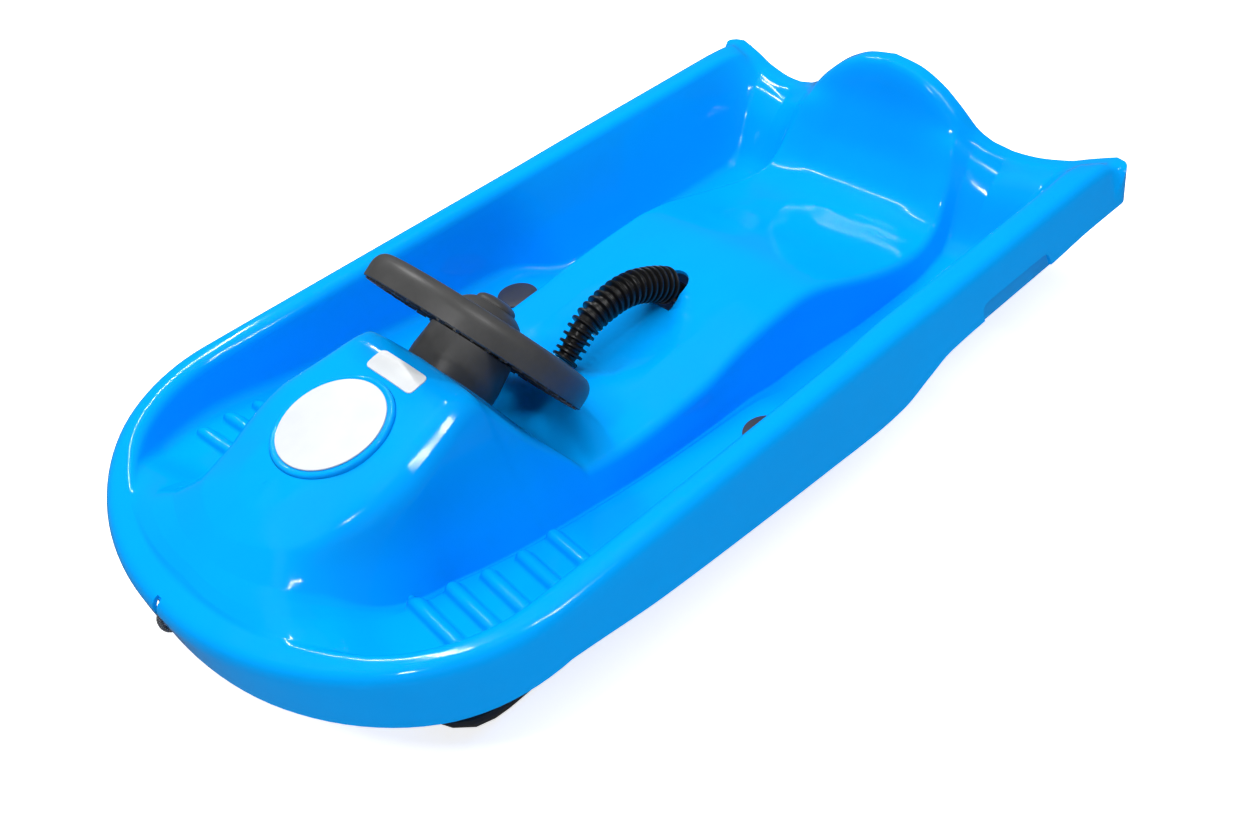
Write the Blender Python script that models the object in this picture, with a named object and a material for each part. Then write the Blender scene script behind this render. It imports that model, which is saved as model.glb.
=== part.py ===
"""A child's steering sled: a blue moulded hull with a steering wheel, twin steering skis,
a ribbed brake lever and a spring-wound tow cord.

Metres. +Z is up, -Y is the nose, +X is the rider's left. The origin is on the ground,
under the middle of the sled.
"""

import math

import bmesh
import bpy
import numpy as np
from mathutils import Matrix, Vector
from mathutils.bvhtree import BVHTree

# Overall sizes
HALF_LENGTH = 0.482
RIM_HALF_WIDTH = 0.2525
RIM_HEIGHT = 0.143
RIM_WIDTH = 0.0265
WALL = 0.0035
GAP = 0.0003

# The nose is half an ellipse in plan
NOSE_LENGTH = 0.192
NOSE_START = -HALF_LENGTH + NOSE_LENGTH
ANCHOR_REACH = 0.072
REAR_CORNER_RADIUS = 0.018
REAR_EDGE = HALF_LENGTH - 0.002

# Heights of the top surface
WELL_FLOOR = 0.035
FOOTREST_HEIGHT = 0.0475
PLATFORM_HEIGHT = 0.094
PLATFORM_DIP = 0.0845
THIGH_HEIGHT = 0.107
SEAT_LOW = 0.060
HOOD_HEIGHT = 0.1995
BACKREST_HEIGHT = 0.1955
SCALLOP_HEIGHT = 0.1155

# Where things sit along the sled
DASH_TOP_Y = -0.206
DASH_FOOT_Y = -0.1375
REAR_WALL_FOOT_Y = 0.372
REAR_WALL_TOP_Y = 0.443
REAR_SKIRT_BOTTOM = 0.0955


def smooth_curve(*points):
    """A monotone cubic through (position, value) points, flat beyond its ends."""
    at = np.array([p[0] for p in points], float)
    value = np.array([p[1] for p in points], float)
    step = np.diff(at)
    slope = np.diff(value) / step
    tangent = np.zeros_like(value)
    tangent[0], tangent[-1] = slope[0], slope[-1]
    for i in range(1, len(at) - 1):
        if slope[i - 1] * slope[i] > 0:
            w0 = 2 * step[i] + step[i - 1]
            w1 = step[i] + 2 * step[i - 1]
            tangent[i] = (w0 + w1) / (w0 / slope[i - 1] + w1 / slope[i])

    def read(t):
        t = min(max(t, at[0]), at[-1])
        i = min(int(np.searchsorted(at, t, side="right")) - 1, len(at) - 2)
        h = step[i]
        s = (t - at[i]) / h
        return float(
            (1 + 2 * s) * (1 - s) ** 2 * value[i]
            + s * (1 - s) ** 2 * h * tangent[i]
            + s * s * (3 - 2 * s) * value[i + 1]
            + s * s * (s - 1) * h * tangent[i + 1]
        )

    return read


def rounded_line(keys, radii, arc_steps, runs):
    """Points along a bent line whose inner corners are rounded.

    keys are (across, height) points, radii one per inner key, arc_steps points per corner
    and runs the number of pieces that each straight stretch is cut into.
    """
    pts = [np.array(k, float) for k in keys]
    corners = []
    for i in range(1, len(pts) - 1):
        back = pts[i - 1] - pts[i]
        ahead = pts[i + 1] - pts[i]
        back_len, ahead_len = np.linalg.norm(back), np.linalg.norm(ahead)
        back, ahead = back / back_len, ahead / ahead_len
        turn = math.pi - math.acos(float(np.clip(back @ ahead, -1, 1)))
        back_share = 0.92 if i == 1 else 0.46
        cut = min(radii[i - 1] * math.tan(turn / 2), back_share * back_len, 0.46 * ahead_len)
        start, end = pts[i] + back * cut, pts[i] + ahead * cut
        arc = []
        for k in range(arc_steps):
            s = k / (arc_steps - 1)
            weight = math.cos(turn / 2)
            blend = (1 - s) ** 2 + 2 * weight * s * (1 - s) + s * s
            arc.append(((1 - s) ** 2 * start + 2 * weight * s * (1 - s) * pts[i] + s * s * end) / blend)
        corners.append(arc)
    out = [pts[0]]
    for i, count in enumerate(runs):
        begin = out[-1]
        end = corners[i][0] if i < len(corners) else pts[-1]
        out += [begin + (end - begin) * k / count for k in range(1, count)]
        out += corners[i] if i < len(corners) else [end]
    return np.array(out)


# The rear edge across the sled: how high it stands and how far back it reaches
rear_height = smooth_curve(
    (0.000, BACKREST_HEIGHT),
    (0.030, 0.1905),
    (0.060, 0.1768),
    (0.085, 0.1568),
    (0.110, 0.1319),
    (0.140, 0.1186),
    (0.170, SCALLOP_HEIGHT),
    (0.200, 0.1185),
    (0.225, 0.1268),
    (0.250, 0.1360),
)
rear_setback = smooth_curve(
    (0.000, 0.0305), (0.060, 0.0298), (0.085, 0.0290), (0.110, 0.0258), (0.140, 0.0198), (0.170, 0.0128),
    (0.200, 0.0060), (0.225, 0.0015), (0.240, 0.0)
)

# Middle of the hood, dash, platform, seat and backrest
middle_height = smooth_curve(
    (NOSE_START, 0.187),
    (-0.245, 0.1945),
    (-0.217, HOOD_HEIGHT),
    (DASH_TOP_Y, 0.1985),
    (-0.198, 0.190),
    (-0.150, 0.106),
    (DASH_FOOT_Y, 0.0880),
    (-0.120, PLATFORM_DIP + 0.0007),
    (-0.090, PLATFORM_DIP),
    (-0.060, PLATFORM_DIP + 0.0025),
    (-0.020, PLATFORM_HEIGHT),
    (0.040, PLATFORM_HEIGHT + 0.006),
    (0.120, THIGH_HEIGHT),
    (0.160, 0.105),
    (0.215, 0.090),
    (0.275, 0.070),
    (0.335, SEAT_LOW),
    (0.385, 0.069),
    (0.420, 0.097),
    (0.445, 0.138),
    (0.462, 0.178),
    (0.470, 0.191),
    (REAR_EDGE, BACKREST_HEIGHT),
)

# Shoulder of the hood, then a line near the middle of the platform and seat
shoulder_x = smooth_curve(
    (NOSE_START, 0.045), (DASH_TOP_Y, 0.045), (DASH_FOOT_Y, 0.066), (0.0, 0.072), (0.34, 0.072), (REAR_EDGE, 0.045)
)
shoulder_z = smooth_curve(
    (NOSE_START, 0.1862),
    (-0.245, 0.1937),
    (-0.217, HOOD_HEIGHT - 0.001),
    (DASH_TOP_Y, 0.197),
    (-0.198, 0.1875),
    (-0.150, 0.105),
    (DASH_FOOT_Y, 0.0872),
    (-0.120, PLATFORM_DIP),
    (-0.090, PLATFORM_DIP - 0.0005),
    (-0.060, PLATFORM_DIP + 0.0015),
    (-0.020, PLATFORM_HEIGHT - 0.0015),
    (0.040, PLATFORM_HEIGHT + 0.004),
    (0.120, THIGH_HEIGHT - 0.001),
    (0.160, 0.104),
    (0.215, 0.089),
    (0.275, 0.069),
    (0.335, SEAT_LOW - 0.001),
    (0.385, 0.068),
    (0.420, 0.095),
    (0.445, 0.134),
    (0.462, 0.171),
    (0.470, 0.182),
    (REAR_EDGE, 0.185),
)

# Top edge of the hood's flank, then of the platform, seat and backrest
edge_x = smooth_curve(
    (NOSE_START, 0.0955),
    (-0.245, 0.0835),
    (-0.217, 0.0770),
    (DASH_TOP_Y, 0.0760),
    (-0.180, 0.0960),
    (-0.160, 0.1060),
    (DASH_FOOT_Y, 0.115),
    (-0.080, 0.121),
    (0.000, 0.123),
    (0.060, 0.119),
    (0.140, 0.118),
    (0.180, 0.122),
    (0.215, 0.128),
    (0.260, 0.131),
    (0.310, 0.127),
    (0.350, 0.120),
    (0.390, 0.113),
    (0.420, 0.106),
    (0.445, 0.098),
    (REAR_EDGE, 0.092),
)
edge_z = smooth_curve(
    (NOSE_START, 0.1845),
    (-0.245, 0.1920),
    (-0.217, 0.1965),
    (DASH_TOP_Y, 0.1950),
    (-0.198, 0.1800),
    (-0.180, 0.1450),
    (-0.160, 0.1195),
    (-0.145, 0.0975),
    (DASH_FOOT_Y, 0.0870),
    (-0.080, 0.0845),
    (0.000, 0.088),
    (0.060, 0.098),
    (0.120, 0.103),
    (0.150, 0.104),
    (0.180, 0.099),
    (0.240, 0.081),
    (0.300, 0.0645),
    (0.340, 0.0585),
    (0.368, 0.063),
    (0.392, 0.078),
    (0.420, 0.104),
    (0.445, 0.131),
    (REAR_EDGE, 0.149),
)

# Foot of the flank and of the island's wall, with a shallow groove beside the footrest
foot_x = smooth_curve(
    (NOSE_START, 0.117), (-0.245, 0.1225), (DASH_TOP_Y, 0.1255), (-0.10, 0.1275), (0.0, 0.1285), (0.12, 0.127),
    (0.22, 0.135), (0.30, 0.136), (0.36, 0.129), (0.42, 0.120), (REAR_EDGE, 0.112)
)
foot_z = smooth_curve(
    (NOSE_START, 0.077), (-0.245, 0.069), (-0.205, 0.064), (-0.15, 0.0565), (-0.10, 0.0505), (-0.05, 0.0465),
    (0.0, 0.0440), (0.05, 0.042), (0.10, WELL_FLOOR), (REAR_WALL_FOOT_Y - 0.01, WELL_FLOOR), (0.385, 0.045),
    (0.430, 0.100), (0.446, 0.116), (REAR_EDGE, 0.1305)
)

# Inner edge and height of the footrest, which slopes down to the well behind it
ledge_in_x = smooth_curve(
    (NOSE_START, 0.128), (-0.245, 0.1325), (-0.205, 0.134), (-0.10, 0.1345), (0.0, 0.1365), (0.06, 0.139),
    (0.12, 0.142), (0.36, 0.148), (REAR_EDGE, 0.145)
)
ledge_z = smooth_curve(
    (NOSE_START, 0.0875), (-0.25, 0.080), (-0.205, 0.0715), (-0.15, 0.062), (-0.10, 0.0555), (-0.05, 0.051),
    (0.0, FOOTREST_HEIGHT + 0.001), (0.024, FOOTREST_HEIGHT), (0.052, 0.0455), (0.075, 0.040),
    (0.100, WELL_FLOOR), (REAR_WALL_FOOT_Y - 0.007, WELL_FLOOR), (0.385, 0.043), (0.430, 0.0915),
    (0.446, 0.1035), (REAR_EDGE, SCALLOP_HEIGHT + 0.002)
)

# Foot of the outer wall under the rim
wall_x = smooth_curve(
    (NOSE_START, RIM_HALF_WIDTH - 0.0290), (-0.20, RIM_HALF_WIDTH - 0.0285), (-0.12, RIM_HALF_WIDTH - 0.0260),
    (-0.02, RIM_HALF_WIDTH - 0.0260), (0.045, RIM_HALF_WIDTH - 0.0305), (0.070, RIM_HALF_WIDTH - 0.0395),
    (0.100, RIM_HALF_WIDTH - 0.0610), (0.125, RIM_HALF_WIDTH - 0.0685), (0.38, RIM_HALF_WIDTH - 0.0695),
    (0.443, RIM_HALF_WIDTH - 0.0565), (REAR_EDGE, RIM_HALF_WIDTH - 0.0475)
)
wall_z = smooth_curve(
    (NOSE_START, 0.089), (-0.25, 0.081), (-0.205, 0.0725), (-0.15, 0.063), (-0.10, 0.0560), (-0.05, 0.051),
    (0.0, FOOTREST_HEIGHT + 0.001), (0.024, FOOTREST_HEIGHT), (0.052, 0.0455), (0.075, 0.040),
    (0.100, WELL_FLOOR), (REAR_WALL_FOOT_Y - 0.007, WELL_FLOOR), (0.385, 0.043), (0.430, 0.094),
    (0.446, 0.1075), (REAR_EDGE, 0.1195)
)

# Rim: its inner and outer corners dip to the rounded rear end
rim_in_z = smooth_curve(
    (NOSE_START, RIM_HEIGHT), (0.41, RIM_HEIGHT), (0.440, 0.139), (0.460, 0.132), (REAR_EDGE, 0.126)
)
rim_out_z = smooth_curve(
    (NOSE_START, RIM_HEIGHT), (0.452, RIM_HEIGHT), (0.466, 0.1415), (0.474, 0.1385), (REAR_EDGE, 0.133)
)

# Skirt: how far it flares out and down along the side
skirt_flare = smooth_curve((NOSE_START, 0.012), (-0.20, 0.0148), (0.05, 0.0160), (0.20, 0.0170), (REAR_EDGE, 0.0175))
skirt_bottom = smooth_curve(
    (NOSE_START, 0.1000), (-0.26, 0.0965), (-0.20, 0.0890), (-0.10, 0.0805), (0.0, 0.0735), (0.075, 0.0695),
    (0.105, 0.0715), (0.140, 0.0830), (0.172, 0.0930), (0.210, 0.0950), (0.340, 0.0960), (0.400, 0.0985),
    (REAR_EDGE, 0.0975)
)

CORNER_RADII = (0.060, 0.011, 0.010, 0.007, 0.007, 0.011, 0.012, 0.012)
HOOD_RADII = (0.060, 0.030, 0.014, 0.007, 0.007, 0.011, 0.012, 0.012)


def rear_corner_inset(y):
    """How far the outline has turned in on the rounded rear corner."""
    past = max(0.0, y - (REAR_EDGE - REAR_CORNER_RADIUS))
    past = min(past, REAR_CORNER_RADIUS)
    return REAR_CORNER_RADIUS - math.sqrt(REAR_CORNER_RADIUS**2 - past**2)


def side_keys(y):
    """The key points of the section across the sled at y, from the middle to the skirt's edge."""
    outer = RIM_HALF_WIDTH - rear_corner_inset(y)
    return [
        (0.0, middle_height(y)),
        (shoulder_x(y), shoulder_z(y)),
        (edge_x(y), edge_z(y)),
        (foot_x(y), foot_z(y)),
        (foot_x(y) + 0.35 * (ledge_in_x(y) - foot_x(y)), foot_z(y) + 0.35 * min(0.0, ledge_z(y) - foot_z(y))),
        (ledge_in_x(y), ledge_z(y)),
        (wall_x(y) - 0.6 * rear_corner_inset(y), wall_z(y)),
        (outer - RIM_WIDTH + 0.002, rim_in_z(y)),
        (outer + 0.002, rim_out_z(y)),
        (outer + skirt_flare(y), skirt_bottom(y)),
    ]


def smooth_step(t, low, high):
    """0 below low, 1 above high, smooth between."""
    s = min(max((t - low) / (high - low), 0.0), 1.0)
    return s * s * (3 - 2 * s)


# Sections of the nose, along lines that fan out from the middle of the hood. Each key is a
# fraction of the way to the outline and a height, at 0, 30, 45 and 60 degrees from straight ahead.
# At 90 degrees they meet the first section across the sled.
FAN_ANGLES = (0.0, 30.0, 45.0, 60.0, 90.0)
FAN_FRACTIONS = (
    (0.20, 0.20, 0.19, 0.18),
    (0.42, 0.42, 0.40, 0.37),
    (0.58, 0.60, 0.54, 0.52),
    (0.62, 0.65, 0.58, 0.538),
    (0.68, 0.73, 0.65, 0.575),
    (0.75, 0.82, 0.84, 0.865),
)
FAN_HEIGHTS = (
    (0.1750, 0.1770, 0.1790, 0.1820),
    (0.1695, 0.1715, 0.1750, 0.1785),
    (0.1600, 0.1620, 0.1600, 0.1650),
    (0.1520, 0.1500, 0.1300, 0.1040),
    (0.1500, 0.1480, 0.1275, 0.1030),
    (0.1470, 0.1445, 0.1275, 0.1035),
    (0.1425, 0.1405, 0.1335, 0.1100),
)
FAN_RIM_IN = (0.1390, 0.1395, 0.1405, 0.1420, RIM_HEIGHT)
FAN_RIM_OUT = (0.1350, 0.1375, 0.1400, 0.1420, RIM_HEIGHT)
FAN_SKIRT_FLARE = (-0.0030, 0.0020, 0.0055, 0.0090, skirt_flare(NOSE_START))
FAN_SKIRT_BOTTOM = (0.1020, 0.0905, 0.0900, 0.0905, skirt_bottom(NOSE_START))
FIRST_SECTION = side_keys(NOSE_START)


def fan_curve(values):
    """A smooth curve over the fan's angles, level where it meets the side sections."""
    return smooth_curve(*zip(FAN_ANGLES, values))


def fan_line(degrees):
    """Anchor and outline point of one line of the fan."""
    a = math.radians(degrees)
    anchor = np.array([0.0, NOSE_START - ANCHOR_REACH * math.cos(a)])
    outline = np.array([RIM_HALF_WIDTH * math.sin(a), NOSE_START - NOSE_LENGTH * math.cos(a)])
    return anchor, outline


def fan_keys(degrees):
    """Key points of one fan section as (distance from the anchor, height)."""
    anchor, outline = fan_line(degrees)
    reach = float(np.linalg.norm(outline - anchor))
    keys = [(0.0, fan_curve((*FAN_HEIGHTS[0], FIRST_SECTION[0][1]))(degrees))]
    for fractions, heights, (side_x, side_z) in zip(FAN_FRACTIONS, FAN_HEIGHTS[1:], FIRST_SECTION[1:]):
        share = fan_curve((*fractions, side_x / RIM_HALF_WIDTH))(degrees)
        keys.append((reach * share, fan_curve((*heights, side_z))(degrees)))
    keys.append((reach - RIM_WIDTH + 0.002, fan_curve(FAN_RIM_IN)(degrees)))
    keys.append((reach + 0.002, fan_curve(FAN_RIM_OUT)(degrees)))
    keys.append((reach + fan_curve(FAN_SKIRT_FLARE)(degrees), fan_curve(FAN_SKIRT_BOTTOM)(degrees)))
    return keys


def blended_radii(y):
    """Fillets of a section: softer on the hood than behind the dash."""
    s = smooth_step(y, DASH_TOP_Y - 0.01, DASH_FOOT_Y)
    return [h + (c - h) * s for h, c in zip(HOOD_RADII, CORNER_RADII)]


# Depth of the hollow round the brake lever, and the flat pad under the reel's cover
LEVER_BOWL_DEPTH = 0.010
LEVER_BOWL_CENTRE = 0.020
LEVER_BOWL_HALF_LENGTH = 0.078
LEVER_BOWL_HALF_WIDTH = 0.066


def lever_bowl(x, y):
    """Depth of the drop-shaped hollow in the platform, pointed at its rear."""
    along = (y - LEVER_BOWL_CENTRE) / LEVER_BOWL_HALF_LENGTH
    if abs(along) >= 1:
        return 0.0
    narrowing = 1.0 - 0.55 * smooth_step(along, 0.0, 1.0)
    across = x / (LEVER_BOWL_HALF_WIDTH * narrowing)
    level = 1.0 - along**2 - across**2
    return LEVER_BOWL_DEPTH * smooth_step(level, 0.0, 0.5) if level > 0 else 0.0


def setback(x, y):
    """How far a point of the rear wall stands forward of its station, so the rear edge curves in plan."""
    return rear_setback(x) * smooth_step(y, 0.330, 0.462)


def hull_rows(arc_steps, runs, fan_angles, side_stations, apron_rows):
    """Rows of points over half the top surface: the nose's fan, the side sections, the rear apron."""
    rows = []
    for degrees in fan_angles:
        anchor, outline = fan_line(degrees)
        direction = (outline - anchor) / np.linalg.norm(outline - anchor)
        line = rounded_line(fan_keys(degrees), blended_radii(NOSE_START), arc_steps, runs)
        rows.append([(anchor[0] + direction[0] * d, anchor[1] + direction[1] * d, z) for d, z in line])
    for y in side_stations:
        line = rounded_line(side_keys(y), blended_radii(y), arc_steps, runs)
        to_edge = smooth_step(y, 0.452, 0.470)
        row = []
        for x, z in line[:-1]:
            z += (rear_height(x) - z) * to_edge
            row.append((x, y - setback(x, y), z - lever_bowl(x, y)))
        row.append((line[-1][0], y - setback(line[-1][0], y), line[-1][1]))
        rows.append(row)
    last = rows[-1]
    for k in range(1, apron_rows + 1):
        s = k / apron_rows
        out = HALF_LENGTH - REAR_EDGE
        bulge = out * min(1.0, 3.0 * s)
        rows.append([(x, y + bulge, z + (min(z - 0.002, REAR_SKIRT_BOTTOM) - z) * s) for x, y, z in last])
    return rows


def mirrored_grid(name, rows):
    """A mesh object of the rows and their mirror image, joined along the middle."""
    bm = bmesh.new()
    grid = {}
    for side in (1, -1):
        for i, row in enumerate(rows):
            for j, (x, y, z) in enumerate(row):
                middle = j == 0 or (i == 0 and abs(x) < 1e-9)
                key = (i, j, 1 if middle else side)
                if key not in grid:
                    grid[key] = bm.verts.new((0.0 if middle else side * x, y, z))
    for side in (1, -1):
        def vert(i, j):
            return grid.get((i, j, side)) or grid[(i, j, 1)]

        for i in range(len(rows) - 1):
            for j in range(len(rows[0]) - 1):
                corners = [vert(i, j), vert(i, j + 1), vert(i + 1, j + 1), vert(i + 1, j)]
                faces = [corners]
                if i == 0 and j == 0:
                    faces = [corners[:3], [corners[0], corners[2], corners[3]]]
                for face in faces:
                    bm.faces.new(face if side == -1 else face[::-1])
    mesh = bpy.data.meshes.new(name)
    bmesh.ops.recalc_face_normals(bm, faces=bm.faces)
    bm.to_mesh(mesh)
    bm.free()
    obj = bpy.data.objects.new(name, mesh)
    bpy.context.scene.collection.objects.link(obj)
    return obj


def new_object(name, bm, parent=None):
    """Turn a bmesh into an object, under a parent if it has one."""
    mesh = bpy.data.meshes.new(name)
    bmesh.ops.recalc_face_normals(bm, faces=bm.faces)
    bm.to_mesh(mesh)
    bm.free()
    obj = bpy.data.objects.new(name, mesh)
    bpy.context.scene.collection.objects.link(obj)
    obj.parent = parent
    return obj


def frame_at(name, place, rotation=(0.0, 0.0, 0.0), parent=None):
    """An empty that holds an axis."""
    empty = bpy.data.objects.new(name, None)
    bpy.context.scene.collection.objects.link(empty)
    empty.location = place
    empty.rotation_euler = rotation
    empty.parent = parent
    return empty


def loft(name, loops, parent=None, closed=False):
    """A solid skinned over loops of points; its ends are capped, or joined when it is closed."""
    bm = bmesh.new()
    rings = [[bm.verts.new(p) for p in loop] for loop in loops]
    count = len(rings[0])
    pairs = list(zip(rings, rings[1:]))
    if closed:
        pairs.append((rings[-1], rings[0]))
    for low, high in pairs:
        for k in range(count):
            n = (k + 1) % count
            bm.faces.new((low[k], low[n], high[n], high[k]))
    if not closed:
        bm.faces.new(rings[0][::-1])
        bm.faces.new(rings[-1])
    return new_object(name, bm, parent)


def circle(radius, z, segments, x=0.0, y=0.0):
    """Points of a circle at height z."""
    turn = 2 * math.pi / segments
    return [(x + radius * math.cos(turn * k), y + radius * math.sin(turn * k), z) for k in range(segments)]


def turned(name, profile, segments, parent=None):
    """A solid turned round Z from (radius, height) points that run from pole to pole."""
    bm = bmesh.new()
    rings = []
    for radius, z in profile:
        if radius <= 0:
            rings.append([bm.verts.new((0.0, 0.0, z))])
        else:
            rings.append([bm.verts.new(p) for p in circle(radius, z, segments)])
    for low, high in zip(rings, rings[1:]):
        for k in range(segments):
            n = (k + 1) % segments
            if len(low) == 1:
                bm.faces.new((low[0], high[n], high[k]))
            elif len(high) == 1:
                bm.faces.new((low[k], low[n], high[0]))
            else:
                bm.faces.new((low[k], low[n], high[n], high[k]))
    return new_object(name, bm, parent)


def ring_solid(name, profile, segments, parent=None):
    """A solid turned round Z from a closed outline of (radius, height) points."""
    turn = 2 * math.pi / segments
    loops = [
        [(r * math.cos(turn * k), r * math.sin(turn * k), z) for r, z in profile] for k in range(segments)
    ]
    return loft(name, loops, parent, closed=True)


def prism(name, outline, low, high, parent=None):
    """A flat outline of (x, y) points, given thickness along Z."""
    return loft(name, [[(x, y, low) for x, y in outline], [(x, y, high) for x, y in outline]], parent)


def block(name, low, high, parent=None):
    """A box between two corners."""
    (x0, y0, z0), (x1, y1, z1) = low, high
    return prism(name, [(x0, y0), (x1, y0), (x1, y1), (x0, y1)], z0, z1, parent)


def combine(target, helper, operation):
    """Join a helper to a piece or cut it out of the piece."""
    helper.hide_render = True
    helper.display_type = "WIRE"
    change = target.modifiers.new(helper.name, "BOOLEAN")
    change.operation = operation
    change.solver = "EXACT"
    change.object = helper


def add(target, helper):
    combine(target, helper, "UNION")


def cut(target, helper):
    combine(target, helper, "DIFFERENCE")


def facet(target):
    """Split faces of more than three corners, so that the next step starts from flat ones."""
    facets = target.modifiers.new("facets", "TRIANGULATE")
    facets.min_vertices = 4


def finish(obj, colour, roughness, metallic=0.0, smooth_angle=35.0):
    """Give a piece its material and smooth shading."""
    material = bpy.data.materials.new(obj.name)
    material.use_nodes = True
    shader = material.node_tree.nodes["Principled BSDF"]
    shader.inputs["Base Color"].default_value = (*colour, 1.0)
    shader.inputs["Roughness"].default_value = roughness
    shader.inputs["Metallic"].default_value = metallic
    obj.data.materials.append(material)
    obj.data.shade_smooth()
    obj.data.set_sharp_from_angle(angle=math.radians(smooth_angle))


for old in list(bpy.data.objects):
    bpy.data.objects.remove(old, do_unlink=True)

BLUE = (0.005, 0.330, 0.900)
GREY = (0.075, 0.078, 0.082)
BLACK = (0.012, 0.012, 0.013)
WHITE = (0.850, 0.860, 0.870)
CORD_GREY = (0.420, 0.430, 0.440)
STEEL = (0.560, 0.570, 0.580)

# Hull shell
SIDE_STATIONS = (
    NOSE_START, -0.262, -0.234, -0.208, -0.197, -0.152, -0.1375, -0.118, -0.080, -0.040, -0.005, 0.030, 0.052,
    0.072, 0.092, 0.112, 0.135, 0.175, 0.215, 0.255, 0.300, 0.340, 0.370, 0.392, 0.418, 0.440, 0.456,
    0.468, 0.480,
)
FAN_STATIONS = (0.0, 11.0, 22.0, 33.0, 44.0, 56.0, 67.0, 78.0)
RUNS = (1, 2, 1, 1, 1, 2, 1, 1, 2)
hull = mirrored_grid("hull_shell", hull_rows(2, RUNS, FAN_STATIONS, SIDE_STATIONS, 2))
top_skin = BVHTree.FromPolygons([v.co[:] for v in hull.data.vertices], [p.vertices[:] for p in hull.data.polygons])
wall = hull.modifiers.new("wall", "SOLIDIFY")
wall.thickness = WALL
wall.offset = -1.0
wall.use_even_offset = True
wall.use_quality_normals = True
bpy.context.view_layer.update()
shell = hull.evaluated_get(bpy.context.evaluated_depsgraph_get()).to_mesh()
both_skins = BVHTree.FromPolygons([v.co[:] for v in shell.vertices], [p.vertices[:] for p in shell.polygons])


def skin_height(x, y):
    """Height of the hull's top surface at a place."""
    return top_skin.ray_cast(Vector((x, y, 1.0)), Vector((0, 0, -1)))[0].z


ROOT = 0.5 * WALL


def hung_block(name, x0, x1, y0, y1, bottom):
    """A block whose top is rooted in the hull's wall above it."""
    corners = [(x0, y0), (x1, y0), (x1, y1), (x0, y1)]
    low = [(x, y, bottom) for x, y in corners]
    high = [(x, y, skin_height(x, y) - ROOT) for x, y in corners]
    return loft(name, [low, high])


hull_additions = []
hull_cuts = []

# Footrest ribs
RIB_STATIONS = ((-0.205, 0.132), (-0.240, 0.1355), (-0.275, 0.134), (-0.305, 0.127), (-0.335, 0.118))
RIB_HALF_WIDTH = 0.0075
RIB_RISE = 0.0085
RIB_CLEARANCE = 0.0455
RIB_SHAPE = ((-1.0, -0.2), (1.0, -0.2), (1.0, 0.0), (0.72, 0.72), (0.0, 1.0), (-0.72, 0.72), (-1.0, 0.0))


def footrest_end(y):
    """Where a rib stops, clear of the outer wall."""
    ahead = min(0.0, y - NOSE_START) / NOSE_LENGTH
    return RIM_HALF_WIDTH * math.sqrt(1 - ahead**2) - RIB_CLEARANCE


def footrest_rib(name, side, y, inner):
    """One raised rib across the footrest, rounded at both ends."""
    outer = footrest_end(y)
    places = [
        (inner, 0.45), (inner + 0.003, 0.85), (inner + 0.008, 1.0), (0.5 * (inner + outer), 1.0),
        (outer - 0.008, 1.0), (outer - 0.003, 0.85), (outer, 0.45),
    ]
    loops = []
    for x, share in places:
        loop = []
        for a, b in RIB_SHAPE:
            along = y + RIB_HALF_WIDTH * share * a
            rise = RIB_RISE * (share * b if b > 0 else b)
            loop.append((side * x, along, skin_height(side * x, along) + rise))
        loops.append(loop)
    return loft(name, loops)


for number, (station, inner_end) in enumerate(RIB_STATIONS):
    for side in (-1, 1):
        hull_additions.append(footrest_rib(f"rib_{number}_{side}", side, station, inner_end))

# Keels under the wells: the hull rests on them
KEEL_X = 0.158
KEEL_HALF_WIDTH = 0.005
KEEL_ROOT_HALF_WIDTH = 0.010
KEEL_FRONT = -0.020
KEEL_REAR = 0.350
KEEL_NOSE = 0.022
WELL_START = 0.105
for side in (-1, 1):
    keel_outline = [
        (KEEL_FRONT, 0.012),
        (KEEL_FRONT + KEEL_NOSE, 0.0),
        (KEEL_REAR - KEEL_NOSE, 0.0),
        (KEEL_REAR, 0.012),
        (KEEL_REAR, WELL_FLOOR - ROOT),
        (WELL_START, WELL_FLOOR - ROOT),
        (0.030, FOOTREST_HEIGHT - ROOT - 0.0012),
        (KEEL_FRONT, FOOTREST_HEIGHT - ROOT),
    ]
    faces = [
        [
            (side * (KEEL_X + face * (KEEL_HALF_WIDTH if z < 0.02 else KEEL_ROOT_HALF_WIDTH)), y, z)
            for y, z in keel_outline
        ]
        for face in (-1, 1)
    ]
    hull_additions.append(loft(f"keel_{side}", faces))

# Hand slots in the side skirts
SLOT_FRONT = 0.225
SLOT_REAR = 0.335
SLOT_TOP = 0.1095
for side in (-1, 1):
    slot_outline = [
        (SLOT_FRONT, 0.080), (SLOT_REAR, 0.080), (SLOT_REAR, SLOT_TOP - 0.006),
        (SLOT_REAR - 0.006, SLOT_TOP), (SLOT_FRONT + 0.006, SLOT_TOP), (SLOT_FRONT, SLOT_TOP - 0.006),
    ]
    hull_cuts.append(loft(f"hand_slot_{side}", [
        [(side * x, y, z) for y, z in slot_outline] for x in (RIM_HALF_WIDTH - 0.0075, RIM_HALF_WIDTH + 0.0375)
    ]))

# Steering axis: Z of its frame runs up the column, towards the rider
STEER_TILT = math.radians(57.0)
WHEEL_CENTRE = Vector((0.0, -0.1395, 0.1853))
steering = frame_at("steering_axis", WHEEL_CENTRE, (-STEER_TILT, 0.0, 0.0))
steer_matrix = Matrix.Translation(WHEEL_CENTRE) @ Matrix.Rotation(-STEER_TILT, 4, "X")

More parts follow.
